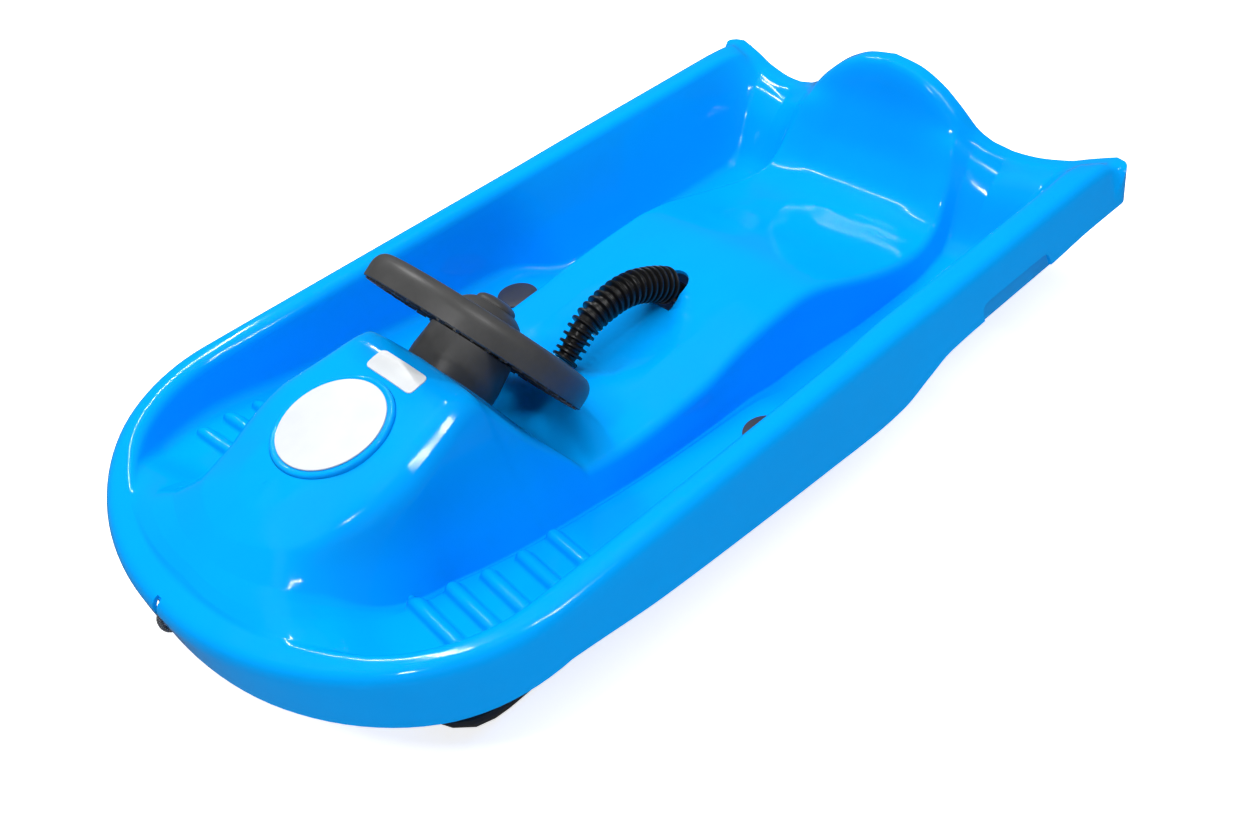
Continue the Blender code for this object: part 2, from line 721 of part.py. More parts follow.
AXLE_RADIUS = 0.006
AXLE_BORE = AXLE_RADIUS + GAP
BUSH_RADIUS = 0.0100
BUSH_FLANGE = 0.0135
BUSH_FLANGE_THICK = 0.0027
BUSH_LENGTH = 0.0100
SLEEVE_RADIUS = 0.043
SLEEVE_TOP_RADIUS = 0.040
SLEEVE_FLAT = 0.0405
SLEEVE_WALL = 0.003
SLEEVE_TOP = -0.0135
SLEEVE_TAPER = -0.040
SLEEVE_LIP_TOP = -0.0570
SLEEVE_LIP_THICK = 0.004
SLEEVE_BOTTOM = SLEEVE_LIP_TOP - SLEEVE_LIP_THICK
SLEEVE_LIP = 0.0030
BEAM_PLACE = -0.1165
BEAM_THICK = 0.005
BEAM_HALF_HEIGHT = 0.018
BEAM_BOSS_RADIUS = 0.015
BEAM_BOSS_LENGTH = 0.014


def sleeve_outline(radius, flat, z, segments=32):
    """A circle with its top side cut flat."""
    return [(x, max(y, -flat), z) for x, y, z in circle(radius, z, segments)]


def sleeve_lip(z, segments=32):
    """The sleeve's outline with a lip round its lower half."""
    loop = []
    for x, y, _ in circle(1.0, z, segments):
        radius = SLEEVE_RADIUS + (SLEEVE_LIP if y > 0.5 else 0.0)
        loop.append((radius * x, max(radius * y, -SLEEVE_FLAT), z))
    return loop


# The column's opening in the dash
hull_cuts.append(loft("column_opening", [
    sleeve_outline(SLEEVE_RADIUS + GAP, SLEEVE_FLAT + GAP, -0.010),
    sleeve_outline(SLEEVE_RADIUS + GAP, SLEEVE_FLAT + GAP, SLEEVE_LIP_TOP - 0.015),
], steering))

# Cross-beam under the hood that carries the lower bush
beam_loops = []
for z in (BEAM_PLACE - 0.5 * BEAM_THICK, BEAM_PLACE + 0.5 * BEAM_THICK):
    loop = []
    for x_side, y in ((-1, -BEAM_HALF_HEIGHT), (1, -BEAM_HALF_HEIGHT), (1, BEAM_HALF_HEIGHT), (-1, BEAM_HALF_HEIGHT)):
        start = steer_matrix @ Vector((0.0, y, z))
        reach = both_skins.ray_cast(start, Vector((x_side, 0, 0)))[0].x
        loop.append((reach + x_side * ROOT, y, z))
    beam_loops.append(loop)
hull_additions.append(loft("axle_beam", beam_loops, steering))
beam_boss = turned("axle_beam_boss", [
    (0.0, BEAM_PLACE - 0.5 * BEAM_BOSS_LENGTH), (BEAM_BOSS_RADIUS, BEAM_PLACE - 0.5 * BEAM_BOSS_LENGTH),
    (BEAM_BOSS_RADIUS, BEAM_PLACE + 0.5 * BEAM_BOSS_LENGTH), (0.0, BEAM_PLACE + 0.5 * BEAM_BOSS_LENGTH),
], 16, steering)
hull_additions.append(beam_boss)
# Column sleeve
sleeve = loft("column_sleeve", [
    sleeve_lip(SLEEVE_BOTTOM),
    sleeve_lip(SLEEVE_LIP_TOP),
    sleeve_outline(SLEEVE_RADIUS, SLEEVE_FLAT, SLEEVE_LIP_TOP + 0.0005),
    sleeve_outline(SLEEVE_RADIUS, SLEEVE_FLAT, SLEEVE_TAPER),
    sleeve_outline(SLEEVE_TOP_RADIUS, SLEEVE_FLAT, SLEEVE_TOP),
], steering)
sleeve_floor = SLEEVE_BOTTOM + 0.006
cut(sleeve, loft("sleeve_hollow", [
    sleeve_outline(SLEEVE_RADIUS - SLEEVE_WALL, SLEEVE_FLAT - SLEEVE_WALL, sleeve_floor),
    sleeve_outline(SLEEVE_RADIUS - SLEEVE_WALL, SLEEVE_FLAT - SLEEVE_WALL, SLEEVE_TAPER),
    sleeve_outline(SLEEVE_TOP_RADIUS - SLEEVE_WALL, SLEEVE_FLAT - SLEEVE_WALL, SLEEVE_TOP + 0.001),
], steering))
cut(sleeve, turned("sleeve_bore", [
    (0.0, SLEEVE_BOTTOM - 0.001), (BUSH_RADIUS + GAP, SLEEVE_BOTTOM - 0.001),
    (BUSH_RADIUS + GAP, sleeve_floor + 0.001), (0.0, sleeve_floor + 0.001),
], 16, steering))
finish(sleeve, GREY, 0.42)


def flanged_bush(name, seat):
    """A bush whose flange sits on a face at height seat."""
    profile = [
        (AXLE_BORE, seat + GAP + BUSH_FLANGE_THICK), (BUSH_FLANGE, seat + GAP + BUSH_FLANGE_THICK),
        (BUSH_FLANGE, seat + GAP), (BUSH_RADIUS, seat + GAP),
        (BUSH_RADIUS, seat - BUSH_LENGTH + 0.003), (AXLE_BORE, seat - BUSH_LENGTH + 0.003),
    ]
    bush = ring_solid(name, profile, 24, steering)
    finish(bush, WHITE, 0.45)


flanged_bush("axle_bush_upper", sleeve_floor)
flanged_bush("axle_bush_lower", BEAM_PLACE + 0.5 * BEAM_BOSS_LENGTH)

# Steering wheel: a ring of open channel with cross ribs, a domed hub and three spokes
WHEEL_RADIUS = 0.109
WHEEL_BAR = 0.022
WHEEL_HALF_DEPTH = 0.0128
WHEEL_WALL = 0.003
WHEEL_RIBS = 42
WHEEL_RIB_THICK = 0.0024
WHEEL_RIB_PROUD = 0.0015
RIB_DRAFT = math.radians(0.35)
wheel_inner = WHEEL_RADIUS - WHEEL_BAR
channel_floor = WHEEL_HALF_DEPTH - 0.005


def wheel_section(filled):
    """Outline of the wheel's bar as (radius, height), with or without a cross rib in its channel."""
    floor = -WHEEL_HALF_DEPTH - WHEEL_RIB_PROUD if filled else channel_floor
    r1, r0 = WHEEL_RADIUS, wheel_inner
    d = WHEEL_HALF_DEPTH
    return [
        (r1, -d), (r1, 0.3 * d), (r1 - 0.0055, d), (r0 + 0.0055, d),
        (r0, 0.3 * d), (r0, -d), (r0 + WHEEL_WALL, -d),
        (r0 + WHEEL_WALL, floor), (r1 - WHEEL_WALL, floor), (r1 - WHEEL_WALL, -d),
    ]


wheel_loops = []
half_rib = 0.5 * WHEEL_RIB_THICK / (0.5 * (WHEEL_RADIUS + wheel_inner))
for rib in range(WHEEL_RIBS):
    middle = 2 * math.pi * (rib + 0.5) / WHEEL_RIBS
    for angle, filled in (
        (middle - half_rib - RIB_DRAFT, False), (middle - half_rib, True),
        (middle + half_rib, True), (middle + half_rib + RIB_DRAFT, False),
    ):
        wheel_loops.append([(r * math.cos(angle), r * math.sin(angle), z) for r, z in wheel_section(filled)])
wheel = loft("steering_wheel", wheel_loops, steering, closed=True)

HUB_RADIUS = 0.036
HUB_TOP = 0.024
CAP_SEAT_DEPTH = 0.0055
CAP_RADIUS = 0.0192
hub = turned("wheel_hub", [
    (0.0, -WHEEL_HALF_DEPTH), (HUB_RADIUS - 0.001, -WHEEL_HALF_DEPTH), (HUB_RADIUS, 0.000), (HUB_RADIUS - 0.003, 0.012),
    (HUB_RADIUS - 0.010, 0.021), (CAP_RADIUS + GAP, HUB_TOP), (CAP_RADIUS + GAP, HUB_TOP - CAP_SEAT_DEPTH),
    (0.0, HUB_TOP - CAP_SEAT_DEPTH),
], 32, steering)
add(wheel, hub)

SPOKE_TOP = 0.008
SPOKE_BOTTOM = -0.010
SPOKE_SKIN = 0.004
SPOKE_SIDE = 0.003
SIDE_SPOKE_HUB = 0.022
SIDE_SPOKE_RIM = 0.017
LOWER_SPOKE_HUB = 0.026
LOWER_SPOKE_RIM = 0.036


def spoke_outline(direction, hub_half, rim_half, start, reach):
    """A tapered strip along a direction, from the hub to an arc inside the ring."""
    ux, uy = math.cos(direction), math.sin(direction)
    half_angle = math.asin(rim_half / reach)
    arc = [half_angle * k / 3 for k in range(-3, 4)]
    points = [(start, -hub_half)]
    points += [(reach * math.cos(a), reach * math.sin(a)) for a in arc]
    points += [(start, hub_half)]
    return [(ux * a - uy * b, uy * a + ux * b) for a, b in points]


SPOKES = (
    ("left", 0.0, SIDE_SPOKE_HUB, SIDE_SPOKE_RIM),
    ("right", math.pi, SIDE_SPOKE_HUB, SIDE_SPOKE_RIM),
    ("lower", 0.5 * math.pi, LOWER_SPOKE_HUB, LOWER_SPOKE_RIM),
)
for side_name, direction, hub_half, rim_half in SPOKES:
    outline = spoke_outline(direction, hub_half, rim_half, 0.020, wheel_inner + 0.0012)
    add(wheel, prism(f"spoke_{side_name}", outline, SPOKE_BOTTOM, SPOKE_TOP, steering))
for side_name, direction, hub_half, rim_half in SPOKES:
    outline = spoke_outline(
        direction, hub_half - SPOKE_SIDE, rim_half - SPOKE_SIDE, HUB_RADIUS + 0.003, wheel_inner - 0.002
    )
    cut(wheel, prism(f"spoke_hollow_{side_name}", outline, SPOKE_BOTTOM - 0.001, SPOKE_TOP - SPOKE_SKIN, steering))
cut(wheel, turned("wheel_bore", [
    (0.0, -0.02), (AXLE_BORE, -0.02), (AXLE_BORE, 0.03), (0.0, 0.03)
], 16, steering))
finish(wheel, GREY, 0.40)

# Hub cap, the nut under it, and the axle
cap_floor = HUB_TOP - CAP_SEAT_DEPTH + GAP
hub_cap = turned("hub_cap", [
    (0.0, cap_floor + 0.0095), (CAP_RADIUS - 0.003, cap_floor + 0.0095), (CAP_RADIUS - 0.003, cap_floor),
    (CAP_RADIUS, cap_floor), (CAP_RADIUS, cap_floor + 0.0065), (CAP_RADIUS - 0.004, cap_floor + 0.0105),
    (CAP_RADIUS - 0.010, cap_floor + 0.0125), (0.0, cap_floor + 0.0130),
], 32, steering)
finish(hub_cap, GREY, 0.38)

NUT_RADIUS = 0.0098
NUT_HEIGHT = 0.0060
nut_seat = HUB_TOP - CAP_SEAT_DEPTH + GAP
nut = prism("axle_nut", [(x, y) for x, y, z in circle(NUT_RADIUS, 0.0, 6)], nut_seat, nut_seat + NUT_HEIGHT, steering)
cut(nut, turned("nut_bore", [
    (0.0, nut_seat - 0.001), (AXLE_BORE, nut_seat - 0.001),
    (AXLE_BORE, nut_seat + NUT_HEIGHT + 0.001), (0.0, nut_seat + NUT_HEIGHT + 0.001),
], 16, steering))
finish(nut, STEEL, 0.35, 1.0)

CRANK_PLACE = -0.1448
CRANK_THICK = 0.006
CRANK_BOSS_RADIUS = 0.012
CRANK_BOSS_LENGTH = 0.010
AXLE_END = CRANK_PLACE - 0.0077
axle = turned("steering_axle", [
    (0.0, AXLE_END), (AXLE_RADIUS - 0.001, AXLE_END), (AXLE_RADIUS, AXLE_END + 0.001),
    (AXLE_RADIUS, nut_seat + NUT_HEIGHT), (AXLE_RADIUS - 0.001, nut_seat + NUT_HEIGHT + 0.001),
    (0.0, nut_seat + NUT_HEIGHT + 0.001),
], 16, steering)
finish(axle, STEEL, 0.30, 1.0)

collar_top = BEAM_PLACE + 0.5 * BEAM_BOSS_LENGTH - BUSH_LENGTH + 0.003 - GAP
collar_bottom = CRANK_PLACE + 0.5 * CRANK_THICK + CRANK_BOSS_LENGTH + GAP
collar = ring_solid("axle_collar", [
    (AXLE_BORE, collar_bottom), (0.0105, collar_bottom), (0.0105, collar_bottom + 0.004), (AXLE_BORE, collar_bottom + 0.004)
], 16, steering)
finish(collar, STEEL, 0.35, 1.0)

# Steering crank: a fork at its end pushes the tie rod's post from side to side
FORK_SLOT_HALF = 0.0085
FORK_TINE = 0.005
FORK_START = 0.036
FORK_END = 0.058
fork_half = FORK_SLOT_HALF + FORK_TINE
crank = prism("steering_crank", [
    (-0.010, 0.0), (0.010, 0.0), (fork_half, FORK_START - 0.008), (fork_half, FORK_END), (FORK_SLOT_HALF, FORK_END),
    (FORK_SLOT_HALF, FORK_START), (-FORK_SLOT_HALF, FORK_START), (-FORK_SLOT_HALF, FORK_END),
    (-fork_half, FORK_END), (-fork_half, FORK_START - 0.008),
], CRANK_PLACE - 0.5 * CRANK_THICK, CRANK_PLACE + 0.5 * CRANK_THICK, steering)
crank_top = CRANK_PLACE + 0.5 * CRANK_THICK + CRANK_BOSS_LENGTH
crank_low = CRANK_PLACE - 0.5 * CRANK_THICK - 0.001
add(crank, turned("crank_boss", [
    (0.0, crank_low), (CRANK_BOSS_RADIUS, crank_low), (CRANK_BOSS_RADIUS, crank_top), (0.0, crank_top)
], 16, steering))
cut(crank, turned("crank_bore", [
    (0.0, crank_low - 0.01), (AXLE_BORE, crank_low - 0.01), (AXLE_BORE, crank_top + 0.01), (0.0, crank_top + 0.01)
], 16, steering))
finish(crank, STEEL, 0.45, 1.0)

# Steering skis on upright kingpins
KINGPIN_X = 0.150
KINGPIN_Y = -0.2845
SKI_ARM = 0.052
SKI_HALF_WIDTH = 0.045
SKI_THICK = 0.009
SKI_TIP = -0.0905
SKI_TAIL = 0.105
ROD_HEIGHT = 0.050
ROD_RADIUS = 0.004
EYE_HALF = 0.0045
EYE_RADIUS = 0.009
LUG_THICK = 0.006
lug_top = ROD_HEIGHT - EYE_HALF - 0.0005
TIE_PIN_RADIUS = 0.0025
TIE_PIN_BORE = TIE_PIN_RADIUS + GAP
KINGPIN_RADIUS = 0.004
KINGPIN_BORE = KINGPIN_RADIUS + GAP
KINGPIN_HEAD_RADIUS = 0.008
KINGPIN_HEAD = 0.005
PEDESTAL_TOP = 0.0665
WASHER_THICK = 0.0014
boss_bottom = PEDESTAL_TOP + 2 * GAP + WASHER_THICK
KINGPIN_TOP = 0.0830
BOSS_RADIUS = 0.011

ski_outline = (
    (SKI_TIP, 0.0300, 0.4 * SKI_HALF_WIDTH), (SKI_TIP + 0.004, 0.0255, 0.62 * SKI_HALF_WIDTH),
    (SKI_TIP + 0.013, 0.0165, 0.82 * SKI_HALF_WIDTH), (SKI_TIP + 0.028, 0.0075, SKI_HALF_WIDTH - 0.0015),
    (SKI_TIP + 0.045, 0.0020, SKI_HALF_WIDTH), (SKI_TIP + 0.060, 0.0, SKI_HALF_WIDTH),
    (SKI_TAIL - 0.016, 0.0, SKI_HALF_WIDTH),
    (SKI_TAIL - 0.004, 0.0035, SKI_HALF_WIDTH - 0.003), (SKI_TAIL, 0.0060, SKI_HALF_WIDTH - 0.010),
)


def ski_section(y, sole, half):
    """Cross-section of a ski blade with rounded edges."""
    top = sole + (SKI_THICK if abs(y) < 0.07 else 0.65 * SKI_THICK)
    r = 0.0025
    return [
        (-half + r, y, sole), (half - r, y, sole), (half, y, sole + r), (half, y, top - r),
        (half - r, y, top), (-half + r, y, top), (-half, y, top - r), (-half, y, sole + r),
    ]


def rectangle(half_x, y0, y1, z):
    return [(-half_x, y0, z), (half_x, y0, z), (half_x, y1, z), (-half_x, y1, z)]


for side, word in ((1, "left"), (-1, "right")):
    kingpin_axis = frame_at(f"kingpin_axis_{word}", (side * KINGPIN_X, KINGPIN_Y, 0.0))
    ski = loft(f"ski_{word}", [ski_section(*place) for place in ski_outline], kingpin_axis)
    add(ski, loft(f"pedestal_{word}", [
        rectangle(0.019, -0.026, 0.028, SKI_THICK - 0.002), rectangle(0.017, -0.020, 0.022, 0.020),
        rectangle(0.013, -0.013, 0.013, 0.045), rectangle(0.0125, -0.0125, 0.0125, PEDESTAL_TOP),
    ], kingpin_axis))
    arm_outline = [(-0.008, 0.0), (0.008, 0.0)]
    arm_outline += [
        (EYE_RADIUS * math.cos(a), SKI_ARM + EYE_RADIUS * math.sin(a))
        for a in (math.pi * k / 8 for k in range(9))
    ]
    add(ski, prism(f"ski_arm_{word}", arm_outline, lug_top - LUG_THICK, lug_top, kingpin_axis))
    cut(ski, turned(f"kingpin_bore_{word}", [
        (0.0, -0.001), (KINGPIN_HEAD_RADIUS + GAP, -0.001), (KINGPIN_HEAD_RADIUS + GAP, KINGPIN_HEAD + 0.002 + GAP),
        (KINGPIN_BORE, KINGPIN_HEAD + 0.002 + GAP), (KINGPIN_BORE, PEDESTAL_TOP + 0.001), (0.0, PEDESTAL_TOP + 0.001),
    ], 16, kingpin_axis))
    tie_bore = turned(f"tie_bore_{word}", [
        (0.0, lug_top - LUG_THICK - 0.001), (TIE_PIN_BORE, lug_top - LUG_THICK - 0.001),
        (TIE_PIN_BORE, lug_top + 0.001), (0.0, lug_top + 0.001),
    ], 16, kingpin_axis)
    tie_bore.location = (0.0, SKI_ARM, 0.0)
    cut(ski, tie_bore)
    finish(ski, GREY, 0.42)

    kingpin = turned(f"kingpin_{word}", [
        (0.0, 0.002), (KINGPIN_HEAD_RADIUS - 0.001, 0.002), (KINGPIN_HEAD_RADIUS, 0.003),
        (KINGPIN_HEAD_RADIUS, KINGPIN_HEAD + 0.002), (KINGPIN_RADIUS, KINGPIN_HEAD + 0.002),
        (KINGPIN_RADIUS, KINGPIN_TOP), (0.0, KINGPIN_TOP),
    ], 16, kingpin_axis)
    finish(kingpin, STEEL, 0.30, 1.0)
    washer = ring_solid(f"kingpin_washer_{word}", [
        (KINGPIN_BORE, PEDESTAL_TOP + GAP), (0.0095, PEDESTAL_TOP + GAP),
        (0.0095, PEDESTAL_TOP + GAP + WASHER_THICK), (KINGPIN_BORE, PEDESTAL_TOP + GAP + WASHER_THICK),
    ], 16, kingpin_axis)
    finish(washer, STEEL, 0.35, 1.0)

    boss_top = skin_height(side * KINGPIN_X, KINGPIN_Y) - ROOT
    hull_additions.append(turned(f"kingpin_boss_{word}", [
        (0.0, boss_bottom), (BOSS_RADIUS, boss_bottom), (BOSS_RADIUS, boss_top), (0.0, boss_top)
    ], 16, kingpin_axis))
    hull_cuts.append(turned(f"kingpin_hole_{word}", [
        (0.0, boss_bottom - 0.001), (KINGPIN_BORE, boss_bottom - 0.001),
        (KINGPIN_BORE, KINGPIN_TOP + GAP), (0.0, KINGPIN_TOP + GAP),
    ], 16, kingpin_axis))

    pin_low = lug_top - LUG_THICK - GAP - 0.0022
    pin_high = ROD_HEIGHT + EYE_HALF + GAP + 0.0022
    tie_pin = turned(f"tie_pin_{word}", [
        (0.0, pin_low), (0.0042, pin_low), (0.0042, pin_low + 0.0022), (TIE_PIN_RADIUS, pin_low + 0.0022),
        (TIE_PIN_RADIUS, pin_high - 0.0022), (0.0045, pin_high - 0.0022), (0.0045, pin_high - 0.0008),
        (0.0032, pin_high), (0.0, pin_high),
    ], 16, kingpin_axis)
    tie_pin.location = (0.0, SKI_ARM, 0.0)
    finish(tie_pin, STEEL, 0.30, 1.0)

# Tie rod, with the post that the crank's fork straddles
POST_RADIUS = 0.0035
POST_TOP = 0.074
tie_axis = frame_at("tie_rod_axis", (KINGPIN_X, KINGPIN_Y + SKI_ARM, 0.0))
rod_loops = [
    [(x, ROD_RADIUS * math.cos(a), ROD_HEIGHT + ROD_RADIUS * math.sin(a)) for a in (2 * math.pi * k / 12 for k in range(12))]
    for x in (-2 * KINGPIN_X + 0.006, -0.006)
]
tie_rod = loft("tie_rod", rod_loops, tie_axis)
for number, x in enumerate((0.0, -2 * KINGPIN_X)):
    eye = turned(f"rod_eye_{number}", [
        (0.0, ROD_HEIGHT - EYE_HALF), (EYE_RADIUS, ROD_HEIGHT - EYE_HALF),
        (EYE_RADIUS, ROD_HEIGHT + EYE_HALF), (0.0, ROD_HEIGHT + EYE_HALF),
    ], 16, tie_axis)
    eye.location = (x, 0.0, 0.0)
    add(tie_rod, eye)
post = turned("rod_post", [
    (0.0, ROD_HEIGHT), (POST_RADIUS, ROD_HEIGHT), (POST_RADIUS, POST_TOP - 0.001), (POST_RADIUS - 0.001, POST_TOP),
    (0.0, POST_TOP),
], 14, tie_axis)
post.location = (-KINGPIN_X, 0.0, 0.0)
add(tie_rod, post)
for number, x in enumerate((0.0, -2 * KINGPIN_X)):
    eye_bore = turned(f"rod_bore_{number}", [
        (0.0, ROD_HEIGHT - 0.01), (TIE_PIN_BORE, ROD_HEIGHT - 0.01),
        (TIE_PIN_BORE, ROD_HEIGHT + 0.01), (0.0, ROD_HEIGHT + 0.01),
    ], 16, tie_axis)
    eye_bore.location = (x, 0.0, 0.0)
    cut(tie_rod, eye_bore)
finish(tie_rod, STEEL, 0.35, 1.0)

# Brake lever: a ribbed handle that dives through a slot in the platform to its pivot
BRAKE_PIVOT = Vector((0.0, 0.100, 0.083))
BRAKE_SLOT_HALF = 0.0190
BRAKE_SLOT_FRONT = 0.063
BRAKE_SLOT_REAR = 0.106
BRAKE_SLOT_TAIL = 0.024
LEVER_RIBS = 20
LEVER_TIP_RADIUS = 0.0125
LEVER_REAR_RADIUS = 0.0178
LEVER_CORE = 0.74
LEVER_RIB_THICK = 0.0028
BRAKE_PIN_RADIUS = 0.004
CHEEK_INNER = BRAKE_SLOT_HALF + 0.001
CHEEK_THICK = 0.004
BRAKE_BOSS_RADIUS = 0.010

lever_height = smooth_curve(
    (-0.056, 0.0985), (-0.031, 0.1190), (-0.019, 0.1245), (0.000, 0.1287), (0.016, 0.1300), (0.034, 0.1280),
    (0.053, 0.1210), (0.067, 0.1138), (0.083, 0.1030)
)


def lever_point(y):
    return Vector((0.0, y, lever_height(y)))


def lever_tangent(y):
    return (lever_point(y + 0.002) - lever_point(y - 0.002)).normalized()


def lever_ring(y, radius, shift=0.0):
    """A ring of points round the handle's centre line."""
    along = lever_tangent(y)
    up = Vector((0.0, -along.z, along.y))
    middle = lever_point(y) + along * shift - BRAKE_PIVOT
    return [
        tuple(middle + Vector((1, 0, 0)) * (radius * math.cos(a)) + up * (radius * math.sin(a)))
        for a in (2 * math.pi * k / 14 for k in range(12))
    ]


LEVER_FRONT = -0.052
LEVER_BACK = 0.078
samples = [LEVER_FRONT + (LEVER_BACK - LEVER_FRONT) * k / 400 for k in range(401)]
lengths = [0.0]
for a, b in zip(samples, samples[1:]):
    lengths.append(lengths[-1] + (lever_point(b) - lever_point(a)).length)
brake_axis = frame_at("brake_axis", BRAKE_PIVOT)
lever_loops = [lever_ring(LEVER_FRONT, 0.45 * LEVER_TIP_RADIUS, -0.0035)]
for rib in range(LEVER_RIBS):
    share = rib / (LEVER_RIBS - 1)
    y = float(np.interp(share * lengths[-1], lengths, samples))
    radius = LEVER_TIP_RADIUS + (LEVER_REAR_RADIUS - LEVER_TIP_RADIUS) * share
    if rib:
        lever_loops.append(lever_ring(y, LEVER_CORE * radius, -0.5 * LEVER_RIB_THICK - 0.0003))
    lever_loops.append(lever_ring(y, radius, -0.5 * LEVER_RIB_THICK))
    lever_loops.append(lever_ring(y, radius, 0.5 * LEVER_RIB_THICK))
    lever_loops.append(lever_ring(y, LEVER_CORE * radius, 0.5 * LEVER_RIB_THICK + 0.0003))
brake_axis_local = lever_ring(LEVER_BACK, 0.0105, 0.008)
lever_loops.append(brake_axis_local)
lever = loft("brake_lever", lever_loops, brake_axis)
neck_top = lever_point(LEVER_BACK) - BRAKE_PIVOT
add(lever, loft("lever_neck", [
    [(-0.009, -0.008, 0.0), (0.009, -0.008, 0.0), (0.009, 0.008, 0.0), (-0.009, 0.008, 0.0)],
    [
        (-0.009, neck_top.y - 0.004, neck_top.z - 0.006), (0.009, neck_top.y - 0.004, neck_top.z - 0.006),
        (0.009, neck_top.y + 0.010, neck_top.z + 0.003), (-0.009, neck_top.y + 0.010, neck_top.z + 0.003),
    ],
], brake_axis))
BRAKE_BOSS_HALF = CHEEK_INNER - 0.0005


def cross_bar(name, radius, half, segments, parent=None):
    """A round bar along X, centred on its parent."""
    turn = 2 * math.pi / segments
    return loft(name, [
        [(x, radius * math.cos(turn * k), radius * math.sin(turn * k)) for k in range(segments)] for x in (-half, half)
    ], parent)


add(lever, cross_bar("lever_boss", BRAKE_BOSS_RADIUS, BRAKE_BOSS_HALF, 20, brake_axis))
CLAW_HALF_WIDTH = 0.016
add(lever, loft("claw_holder", [
    [(-CLAW_HALF_WIDTH, -0.004, -0.003), (CLAW_HALF_WIDTH, -0.004, -0.003), (CLAW_HALF_WIDTH, 0.003, 0.006), (-CLAW_HALF_WIDTH, 0.003, 0.006)],
    [(-CLAW_HALF_WIDTH, 0.030, -0.0285), (CLAW_HALF_WIDTH, 0.030, -0.0285), (CLAW_HALF_WIDTH, 0.036, -0.0205), (-CLAW_HALF_WIDTH, 0.036, -0.0205)],
], brake_axis))
cut(lever, cross_bar("lever_bore", BRAKE_PIN_RADIUS + GAP, 0.030, 20, brake_axis))

# Brake claw: a steel plate under the holder, held by two screws
CLAW_THICK = 0.003
claw_dir = Vector((0.0, 0.034, -0.0255)).normalized()
claw_out = Vector((0.0, claw_dir.z, -claw_dir.y))
claw_start = Vector((0.0, -0.004, -0.003)) + claw_out * GAP
CLAW_NEAR = 0.014
CLAW_FAR = 0.094


def claw_point(x, along, depth):
    return tuple(Vector((x, 0, 0)) + claw_start + claw_dir * along + claw_out * depth)


claw_outline = [(-0.016, CLAW_NEAR), (0.016, CLAW_NEAR), (0.016, CLAW_FAR - 0.022)]
for tooth in range(4):
    left = 0.020 - 0.010 * tooth
    claw_outline += [(left, CLAW_FAR - 0.010), (left - 0.0025, CLAW_FAR), (left - 0.0075, CLAW_FAR)]
claw_outline += [(-0.020, CLAW_FAR - 0.010), (-0.016, CLAW_FAR - 0.022)]
claw = loft("brake_claw", [
    [claw_point(x, along, 0.0) for x, along in claw_outline], [claw_point(x, along, CLAW_THICK) for x, along in claw_outline]
], brake_axis)
SCREW_ALONG = 0.030
for number, x in enumerate((-0.009, 0.009)):
    hole_frame = frame_at(f"claw_screw_axis_{number}", claw_point(x, SCREW_ALONG, 0.0), parent=brake_axis)
    hole_frame.rotation_euler = claw_out.to_track_quat("Z", "X").to_euler()
    hole = turned(f"claw_hole_{number}", [(0.0, -0.007), (0.0023, -0.007), (0.0023, 0.006), (0.0, 0.006)], 14, hole_frame)
    cut(claw, hole)
    cut(lever, hole)
    screw = turned(f"claw_screw_{number}", [
        (0.0, -0.006), (0.0020, -0.006), (0.0020, CLAW_THICK + GAP), (0.0040, CLAW_THICK + GAP),
        (0.0040, CLAW_THICK + 0.0018), (0.0028, CLAW_THICK + 0.0028), (0.0, CLAW_THICK + 0.0028),
    ], 14, hole_frame)
    finish(screw, STEEL, 0.30, 1.0)
finish(claw, STEEL, 0.38, 1.0)
finish(lever, BLACK, 0.45)

brake_pin_half = CHEEK_INNER + CHEEK_THICK + GAP
brake_pin = cross_bar("brake_pin", BRAKE_PIN_RADIUS, brake_pin_half + 0.0005, 20, brake_axis)
for number, side in enumerate((-1, 1)):
    head = cross_bar(f"brake_pin_head_{number}", 0.0065, 0.0015, 20, brake_axis)
    head.location = (side * (brake_pin_half + 0.0015), 0.0, 0.0)
    add(brake_pin, head)
finish(brake_pin, STEEL, 0.30, 1.0)

for number, side in enumerate((-1, 1)):
    inner, outer = side * CHEEK_INNER, side * (CHEEK_INNER + CHEEK_THICK)
    low_x, high_x = min(inner, outer), max(inner, outer)
    hull_additions.append(hung_block(f"brake_cheek_{number}", low_x, high_x, BRAKE_PIVOT.y - 0.014, BRAKE_PIVOT.y + 0.014, BRAKE_PIVOT.z - 0.010))
hull_cuts.append(cross_bar("brake_pin_hole", BRAKE_PIN_RADIUS + GAP, 0.040, 20, brake_axis))
slot_tail = BRAKE_SLOT_REAR - BRAKE_SLOT_TAIL
slot_outline = [(-BRAKE_SLOT_HALF, BRAKE_SLOT_FRONT), (BRAKE_SLOT_HALF, BRAKE_SLOT_FRONT)]
slot_outline += [
    (BRAKE_SLOT_HALF * math.cos(a), slot_tail + (BRAKE_SLOT_REAR - slot_tail) * math.sin(a))
    for a in (math.pi * k / 12 for k in range(13))
]
hull_cuts.append(prism("brake_slot", slot_outline, BRAKE_PIVOT.z - 0.003, THIGH_HEIGHT + 0.023))

